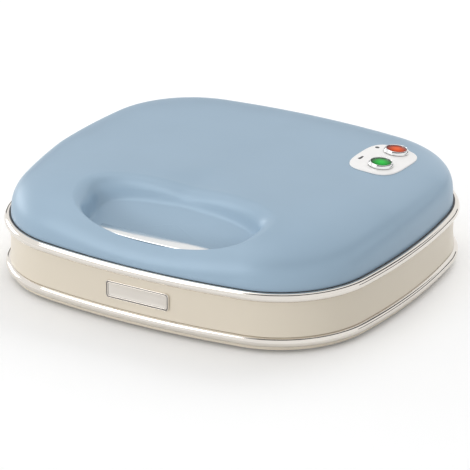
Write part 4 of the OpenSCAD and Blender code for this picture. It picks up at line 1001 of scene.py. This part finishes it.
# ------------------------------------------------------------
# The set: a white floor that keeps the shadow, dark cloths that only the chrome
# sees, hung in a high strip and standing low, and soft lamps all round.
# ------------------------------------------------------------
def seen_directly(tree):
    """1 where the camera, a mirror or clear glass looks at it, 0 for the light it sends on."""
    path = tree.nodes.new("ShaderNodeLightPath")
    result = path.outputs["Is Camera Ray"]
    for name in ("Is Glossy Ray", "Is Transmission Ray"):
        node = tree.nodes.new("ShaderNodeMath")
        node.operation = "MAXIMUM"
        tree.links.new(result, node.inputs[0])
        tree.links.new(path.outputs[name], node.inputs[1])
        result = node.outputs[0]
    return result


def stage_mesh(name, verts, faces):
    """A piece of the set, and the node tree of its finish."""
    mesh = bpy.data.meshes.new(name)
    mesh.from_pydata(verts, [], faces)
    obj = linked(name, mesh)
    mat = bpy.data.materials.new(name + "_finish")
    mat.use_nodes = True
    mesh.materials.append(mat)
    return obj, mat.node_tree


floor_half = 9
floor_corners = [(x, y, 0) for x, y in box_plan(-floor_half, -floor_half, floor_half, floor_half)]
_, tree = stage_mesh("floor", floor_corners, [(0, 1, 2, 3)])
floor_shader = tree.nodes["Principled BSDF"]
floor_shader.inputs["Roughness"].default_value = 0.9
floor_shader.inputs["Specular IOR Level"].default_value = 0.0
tone = tree.nodes.new("ShaderNodeMix")
tone.data_type = "RGBA"
tone.inputs[6].default_value, tone.inputs[7].default_value = (0.70, 0.70, 0.70, 1), (1, 1, 1, 1)
direct = seen_directly(tree)
tree.links.new(direct, tone.inputs[0])
tree.links.new(tone.outputs[2], floor_shader.inputs["Base Color"])
glow = tree.nodes.new("ShaderNodeMath")
glow.operation = "MULTIPLY"
glow.inputs[1].default_value = 0.05
tree.links.new(direct, glow.inputs[0])
floor_shader.inputs["Emission Color"].default_value = (1, 1, 1, 1)
tree.links.new(glow.outputs[0], floor_shader.inputs["Emission Strength"])

CLOTH_R, CLOTH_FOOT, STRIP_HALF = 1.3, 0.03, 0.19


def cloth_rows(low, high):
    """Points and faces of one cloth between two rows of [azimuth, elevation or height] points."""
    n = len(low)
    return low + high, [(i, i + 1, n + 1 + i, n + i) for i in range(n - 1)]


strip_az = np.radians(np.linspace(-110, 66, 60))
strip_el = np.radians(np.interp(np.degrees(strip_az), [-106, -60, -14.5, 19, 43, 63],
                                [65.5, 70.5, 66, 56, 44, 30.5]))
rows = [[(CLOTH_R * math.cos(t) * math.cos(e + d), CLOTH_R * math.sin(t) * math.cos(e + d),
          CLOTH_FOOT + CLOTH_R * math.sin(e + d)) for t, e in zip(strip_az, strip_el)]
        for d in (-STRIP_HALF, STRIP_HALF)]
verts, faces = cloth_rows(*rows)
for start, end, high in ((22, 80, 0.24), (106, 150, 0.30)):
    az = np.radians(np.linspace(start, end, 20))
    standing = [[(CLOTH_R * math.cos(t), CLOTH_R * math.sin(t), h) for t in az] for h in (CLOTH_FOOT, high)]
    more_verts, more_faces = cloth_rows(*standing)
    faces += [tuple(len(verts) + i for i in face) for face in more_faces]
    verts += more_verts
cloth, tree = stage_mesh("dark_cloths", verts, faces)
tree.nodes["Principled BSDF"].inputs["Base Color"].default_value = (0.03, 0.03, 0.032, 1)
tree.nodes["Principled BSDF"].inputs["Roughness"].default_value = 0.9
cloth.visible_camera = cloth.visible_diffuse = cloth.visible_shadow = False

world = bpy.data.worlds.new("studio")
bpy.context.scene.world = world
world.use_nodes = True
tree = world.node_tree
tree.nodes["Background"].inputs["Color"].default_value = (1, 1, 1, 1)
level = tree.nodes.new("ShaderNodeMapRange")
level.inputs["To Min"].default_value, level.inputs["To Max"].default_value = 0.76, 1.0
tree.links.new(seen_directly(tree), level.inputs["Value"])
tree.links.new(level.outputs["Result"], tree.nodes["Background"].inputs["Strength"])


def lamp(name, place, size, power):
    """A soft lamp turned to the toaster."""
    data = bpy.data.lights.new(name, "AREA")
    data.shape, data.size, data.size_y, data.energy = "RECTANGLE", size[0], size[1], power
    obj = linked(name, data)
    obj.location = place
    obj.rotation_euler = (Vector((0, 0, 0.03)) - Vector(place)).to_track_quat("-Z", "Y").to_euler()
    return obj


lamp("left_high_soft", (-1.0, 0.1, 1.95), (1.0, 1.0), 3.5).visible_diffuse = False
lamp("front_high_soft", (-1.1, -1.27, 1.7), (1.2, 1.2), 11).visible_diffuse = False
lamp("left_low_soft", (-2.3, 0.4, 0.6), (1.2, 0.7), 9)
lamp("back_soft", (0.1, 1.9, 1.5), (2.0, 1.2), 17).visible_glossy = False
lamp("front_soft", (-0.9, -2.5, 0.36), (1.6, 0.5), 20).visible_glossy = False
bpy.context.scene.view_settings.view_transform = "Standard"
